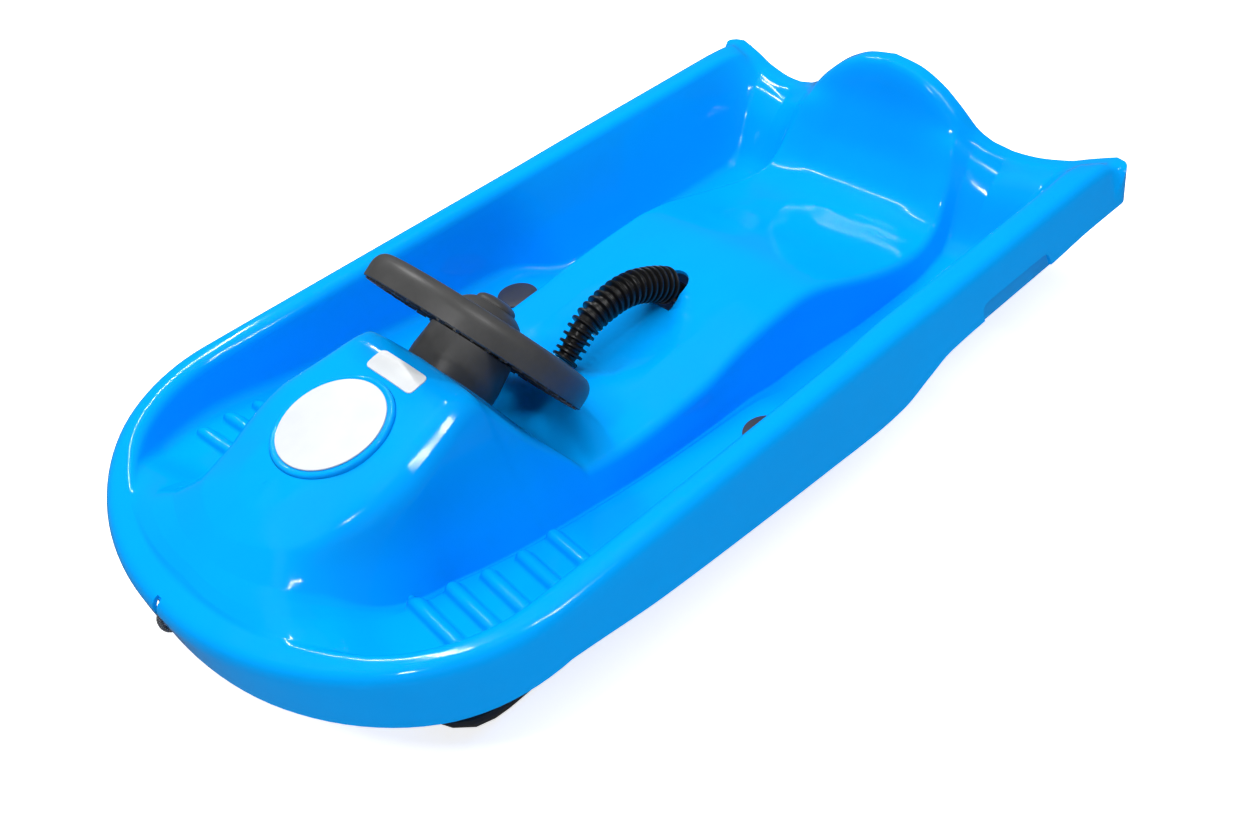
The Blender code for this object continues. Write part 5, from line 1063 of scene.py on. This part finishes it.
def spoke_outline(direction, hub_half, rim_half, start, reach):
    """A tapered strip along a direction, from the hub to an arc inside the ring."""
    ux, uy = math.cos(direction), math.sin(direction)
    half_angle = math.asin(rim_half / reach)
    arc = [half_angle * k / 6 for k in range(-6, 7)]
    points = [(start, -hub_half)]
    points += [(reach * math.cos(a), reach * math.sin(a)) for a in arc]
    points += [(start, hub_half)]
    return [(ux * a - uy * b, uy * a + ux * b) for a, b in points]


def spoke(direction, hub_half, rim_half):
    """A spoke with rounded long edges, hollow from behind."""
    outer = WHEEL_IN + 0.0014
    loops = []
    for shrink, z in ((0.0, -0.01), (0.0, 0.005), (0.0008, 0.0068), (0.0024, 0.008)):
        outline = spoke_outline(direction, hub_half - shrink, rim_half - shrink, 0.02, outer)
        loops.append([(x, y, z) for x, y in outline])
    body = loft("spoke", loops, steer_matrix)
    hollow = prism("spoke_hollow", softened(
        spoke_outline(direction, hub_half - 0.003, rim_half - 0.003, 0.039, WHEEL_IN - 0.002), 0.001, 2
    ), -0.011, 0.004, steer_matrix)
    combine(body, [hollow], "DIFFERENCE")
    return body


wheel = wheel_ring()
hub = turned("hub", [
    (0, -0.0128), (0.034, -0.0128), (0.035, -0.0118), (0.036, 0.0), (0.0357, 0.005), (0.0345, 0.0095),
    (0.0322, 0.014), (0.029, 0.018), (0.0255, 0.021), (0.0222, 0.023), (0.02, 0.024),
    (0.0195, 0.0238), (0.0195, 0.0185), (0, 0.0185),
], 96, steer_matrix)
combine(wheel, [hub] + [spoke(*form) for form in SPOKES], "UNION")
combine(wheel, [round_bar("wheel_bore", 0.0063, -0.02, 0.03, 48, steer_matrix)], "DIFFERENCE")
dress(wheel, 30.0, GREY, "steering", "grey_plastic", "steering_wheel")

hub_cap = turned("hub_dome", [
    (0, 0.0283), (0.0162, 0.0283), (0.0162, 0.0188), (0.0192, 0.0188), (0.0192, 0.025), (0.0186, 0.0266),
    (0.0172, 0.0282), (0.015, 0.0296), (0.012, 0.0307), (0.0085, 0.0314), (0.0045, 0.0317), (0, 0.0318),
], 96, steer_matrix)
dress(hub_cap, 30.0, GREY, "steering", "grey_plastic", "hub_cap")

# Brake lever: thin fins round a core that is drawn in between them
lever_height = smooth_curve(
    (-0.062, 0.0975), (-0.054, 0.102), (-0.031, 0.119), (-0.019, 0.1245), (0.0, 0.1287),
    (0.016, 0.13), (0.034, 0.128), (0.053, 0.121), (0.067, 0.1138), (0.083, 0.103)
)
LEVER_FRONT, LEVER_BACK, LEVER_RIBS = -0.057, 0.078, 21


def lever_point(y):
    """A point of the handle's centre line."""
    return Vector((0.0, y, lever_height(y)))


def lever_ring(y, radius, shift):
    """A ring of points round the handle's centre line."""
    along = (lever_point(y + 0.002) - lever_point(y - 0.002)).normalized()
    up = Vector((0.0, -along.z, along.y))
    middle = lever_point(y) + along * shift
    return [
        tuple(middle + Vector((1, 0, 0)) * (radius * math.cos(a)) + up * (radius * math.sin(a)))
        for a in (2 * math.pi * k / 40 for k in range(40))
    ]


def lever_loops():
    """Rings of the handle, fin by fin, from its front tip to the slot."""
    samples = [LEVER_FRONT + (LEVER_BACK - LEVER_FRONT) * k / 400 for k in range(401)]
    lengths = [0.0]
    for a, b in zip(samples, samples[1:]):
        lengths.append(lengths[-1] + (lever_point(b) - lever_point(a)).length)
    loops = [lever_ring(LEVER_FRONT, 0.004, -0.0032), lever_ring(LEVER_FRONT, 0.008, -0.0028)]
    for rib in range(LEVER_RIBS):
        share = rib / (LEVER_RIBS - 1)
        y = float(np.interp(share * lengths[-1], lengths, samples))
        radius = 0.0136 + 0.0052 * share
        core = (0.66 + 0.06 * share) * radius
        for size, shift in (
            (core, -0.0025), (core + 0.0006, -0.0018), (radius - 0.0006, -0.0014), (radius, -0.0008),
            (radius, 0.0008), (radius - 0.0006, 0.0014), (core + 0.0006, 0.0018), (core, 0.0025),
        ):
            loops.append(lever_ring(y, size, shift))
    loops.append(lever_ring(LEVER_BACK, 0.0105, 0.008))
    return loops


def slab(name, half, *ends):
    """A bar of even width between two ends, each of them two (along, height) points from the pivot."""
    loops = [[(-half, *near), (half, *near), (half, *far), (-half, *far)] for near, far in ends]
    return loft(name, loops, brake_matrix)


lever = loft("lever", lever_loops())
neck = slab("lever_neck", 0.009, ((-0.008, 0.0), (0.008, 0.0)), ((-0.026, 0.0175), (-0.012, 0.0265)))
holder = slab("claw_holder", 0.016, ((-0.004, -0.003), (0.003, 0.006)), ((0.03, -0.0285), (0.036, -0.0205)))
combine(lever, [neck, holder, cross_bar("lever_boss", 0.01, 0.0195, 48)], "UNION")
combine(lever, [cross_bar("lever_bore", PIN_BORE, 0.03, 32)], "DIFFERENCE")
dress(lever, 30.0, BLACK, "brake", "black_plastic", "brake_lever")

# Round caps in the footrests
for side, word in ((1, "left"), (-1, "right")):
    low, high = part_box(f"floor_cap_{word}")
    seat = high.z - 0.002
    cap = turned(f"foot_cap_{word}", [
        (0, -0.004), (0.018, -0.004), (0.018, -0.009), (0.0205, -0.009), (0.0205, 0), (0.022, 0),
        (0.022, 0.0006), (0.0216, 0.0013), (0.0207, 0.0016), (0.01, 0.002), (0, 0.002),
    ], 64, Matrix.Translation((side * 0.176, 0.0235, seat)))
    dress(cap, 30.0, DARK, "hull", "grey_plastic", f"floor_cap_{word}")

# Pull cord and its handle
CORD_RADIUS = 0.00225
CORD_ROUTE = [
    reel_matrix @ Vector((0.0416, -0.006, -0.029)),
    reel_matrix @ Vector((0.0357, -0.0345, -0.029)),
    Vector((0.02, -0.405, 0.14)),
    Vector((0.003, -0.456, 0.126)),
    Vector((0.0, -0.474, 0.1235)),
    Vector((0.0, -0.4815, 0.119)),
    Vector((0.0, -0.483, 0.11)),
    Vector((0.0, -0.48, 0.102)),
    Vector((0.0, -0.473, 0.0985)),
    Vector((0.0, -0.4641, 0.1005)),
]


def smooth_route(points, spacing):
    """Points at an even spacing along a Catmull-Rom curve through the route."""
    fine = []
    for i in range(len(points) - 1):
        p0, p1, p2 = points[max(i - 1, 0)], points[i], points[i + 1]
        p3 = points[min(i + 2, len(points) - 1)]
        for k in range(24):
            t = k / 24
            square = (2 * p0 - 5 * p1 + 4 * p2 - p3) * t**2
            cube = (3 * p1 - p0 - 3 * p2 + p3) * t**3
            fine.append(0.5 * (2 * p1 + (p2 - p0) * t + square + cube))
    fine.append(points[-1])
    travelled = [0.0]
    for a, b in zip(fine, fine[1:]):
        travelled.append(travelled[-1] + (b - a).length)
    count = max(2, round(travelled[-1] / spacing))
    out = []
    for k in range(count + 1):
        s = travelled[-1] * k / count
        out.append(Vector([np.interp(s, travelled, [p[axis] for p in fine]) for axis in range(3)]))
    return out, travelled[-1]


def tube(name, points, radius, segments):
    """A round tube along points, with its length and turn as texture coordinates."""
    bm = bmesh.new()
    layer = bm.loops.layers.uv.new("UVMap")
    rings, places = [], []
    side = Vector((1, 0, 0))
    travelled = 0.0
    for i, p in enumerate(points):
        along = (points[min(i + 1, len(points) - 1)] - points[max(i - 1, 0)]).normalized()
        side = (side - along * side.dot(along)).normalized()
        up = along.cross(side)
        if i:
            travelled += (p - points[i - 1]).length
        places.append(travelled)
        rings.append([
            bm.verts.new(p + side * (radius * math.cos(a)) + up * (radius * math.sin(a)))
            for a in (2 * math.pi * k / segments for k in range(segments))
        ])
    for i in range(len(rings) - 1):
        for k in range(segments):
            n = (k + 1) % segments
            face = bm.faces.new((rings[i][k], rings[i][n], rings[i + 1][n], rings[i + 1][k]))
            for loop, (u, v) in zip(face.loops, ((i, k), (i, k + 1), (i + 1, k + 1), (i + 1, k))):
                loop[layer].uv = (places[u], v / segments)
    bm.faces.new(rings[0][::-1])
    bm.faces.new(rings[-1])
    return new_object(name, bm)


cord_points, cord_length = smooth_route(CORD_ROUTE, 0.003)
cord = tube("tow_cord", cord_points, CORD_RADIUS, 16)
dress(cord, 60.0, CORD, "hull", "cord_braid", "pull_cord")

handle_matrix = Matrix.Translation((0.0, -0.456, 0.102)) @ Matrix.Rotation(math.radians(90.0), 4, "Y")
handle_profile = [(0, -0.032), (0.0042, -0.032), (0.0062, -0.0312), (0.0073, -0.029)]
for k in range(7):
    z = -0.024 + 0.008 * k
    handle_profile += [(0.0075, z - 0.0022), (0.0069, z - 0.001), (0.0069, z + 0.001), (0.0075, z + 0.0022)]
handle_profile += [(0.0073, 0.029), (0.0062, 0.0312), (0.0042, 0.032), (0, 0.032)]
handle = turned("tow_handle", handle_profile, 48, handle_matrix)
dress(handle, 40.0, BLACK, "hull", "black_plastic", "pull_handle")

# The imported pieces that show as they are, with finer edges and finished materials
NODE_LOOKS = {
    "axle_bush_upper": WHITE, "axle_bush_lower": WHITE, "ski_left": DARK, "ski_right": DARK,
    "reel_housing": BLACK, "reel_spool": BLACK, "cord_winding": CORD,
}
for name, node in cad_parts.items():
    node.data.materials.clear()
    node.data.materials.append(NODE_LOOKS.get(name, STEEL))
for word in ("left", "right"):
    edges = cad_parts[f"ski_{word}"].modifiers.new("edges", "BEVEL")
    edges.width = 0.0015
    edges.segments = 3
    edges.limit_method = "ANGLE"
    edges.angle_limit = math.radians(30.0)

# Floor, light and background
WORLD_LEVEL = 0.16


def ray_strength(tree, level, camera, mirror):
    """A strength that differs for what the camera sees, for reflections and for the light itself."""
    path = tree.nodes.new("ShaderNodeLightPath").outputs
    value = level
    for ray, strength in (("Camera", camera), ("Glossy", mirror), ("Transmission", mirror)):
        step = math_node(tree, "MULTIPLY_ADD", path[f"Is {ray} Ray"], strength - level, value)
        value = step.outputs["Value"]
    return value


def glow_with_painted_shadow(tree, strength):
    """The background's strength on the floor, which fades to nothing under the sled as a painted shadow
    there.
    """
    coordinates = tree.nodes.new("ShaderNodeTexCoord")
    mapping = tree.nodes.new("ShaderNodeMapping")
    mapping.inputs["Scale"].default_value = (1 / 0.2, 1 / 0.4, 1.0)
    fade = tree.nodes.new("ShaderNodeTexGradient")
    fade.gradient_type = "SPHERICAL"
    tree.links.new(coordinates.outputs["Object"], mapping.inputs["Vector"])
    tree.links.new(mapping.outputs["Vector"], fade.inputs["Vector"])
    # Full glow clear of the sled, none under it: a painted shadow
    clear_of_painted_shadow = math_node(tree, "MULTIPLY_ADD", fade.outputs["Fac"], -5.0, 1.0)
    clear_of_painted_shadow.use_clamp = True
    seen = ray_strength(tree, 0.0, strength, 0.0)
    return math_node(tree, "MULTIPLY", clear_of_painted_shadow.outputs["Value"], seen).outputs["Value"]


def mix_shaders(tree, share, first, second):
    """Two shaders, mixed by a share."""
    node = tree.nodes.new("ShaderNodeMixShader")
    for socket, source in zip(node.inputs, (share, first.outputs[0], second.outputs[0])):
        tree.links.new(source, socket)
    return node


floor_mesh = bmesh.new()
bmesh.ops.create_grid(floor_mesh, x_segments=1, y_segments=1, size=6.0)
floor = new_object("floor", floor_mesh)
floor.location.z = -0.0002
floor_material, floor_tree, floor_shader = new_material("floor", 0.9, specular=0.1)
tint(floor_tree, floor_shader, noise(floor_tree, 3.0, 3.0), (0.3, (0.9,) * 3), (0.7, (0.93,) * 3))
floor_shader.inputs["Emission Color"].default_value = (1.0, 1.0, 1.0, 1.0)
# The floor's glow for the camera, with a painted shadow under the sled
floor_tree.links.new(glow_with_painted_shadow(floor_tree, 0.75), floor_shader.inputs["Emission Strength"])
mirrored = floor_tree.nodes.new("ShaderNodeEmission")
mirrored.inputs["Strength"].default_value = 0.12
above = mix_shaders(floor_tree, ray_strength(floor_tree, 0.0, 0.0, 1.0), floor_shader, mirrored)
from_below = floor_tree.nodes.new("ShaderNodeNewGeometry").outputs["Backfacing"]
open_floor = mix_shaders(floor_tree, from_below, above, floor_tree.nodes.new("ShaderNodeBsdfTransparent"))
floor_tree.links.new(open_floor.outputs[0], floor_tree.nodes["Material Output"].inputs["Surface"])
floor.data.materials.append(floor_material)

world = bpy.data.worlds.new("studio")
world.use_nodes = True
background = world.node_tree.nodes["Background"].inputs
background["Color"].default_value = (0.97, 0.98, 1.0, 1.0)
world.node_tree.links.new(ray_strength(world.node_tree, WORLD_LEVEL, 1.0, 0.06), background["Strength"])
bpy.context.scene.world = world


def area_light(name, place, target, size, power, glossy):
    """A soft rectangular light aimed at a point."""
    data = bpy.data.lights.new(name, "AREA")
    data.shape = "RECTANGLE"
    data.size, data.size_y = size
    data.energy = power
    lamp = bpy.data.objects.new(name, data)
    bpy.context.scene.collection.objects.link(lamp)
    lamp.location = place
    lamp.rotation_euler = (Vector(target) - Vector(place)).to_track_quat("-Z", "Y").to_euler()
    lamp.visible_glossy = glossy


area_light("overhead", (-0.5, 0.1, 2.6), (0, 0, 0), (2.4, 2.4), 64.0, False)
area_light("front_fill", (1.8, -1.8, 1.5), (0, 0, 0.05), (2.0, 1.4), 8.0, False)
area_light("strip_left", (-1.5, 0.3, 1.9), (0, 0, 0.1), (0.05, 1.2), 14.0, True)
area_light("strip_right", (1.1, 0.4, 2.2), (0, 0, 0.1), (0.05, 1.2), 14.0, True)
area_light("spot_front", (0.5, -1.3, 1.9), (0, -0.3, 0.15), (0.2, 0.2), 9.0, True)

scene = bpy.context.scene
scene.view_settings.view_transform = "Standard"
scene.view_settings.look = "None"
scene.view_settings.exposure = 0.0
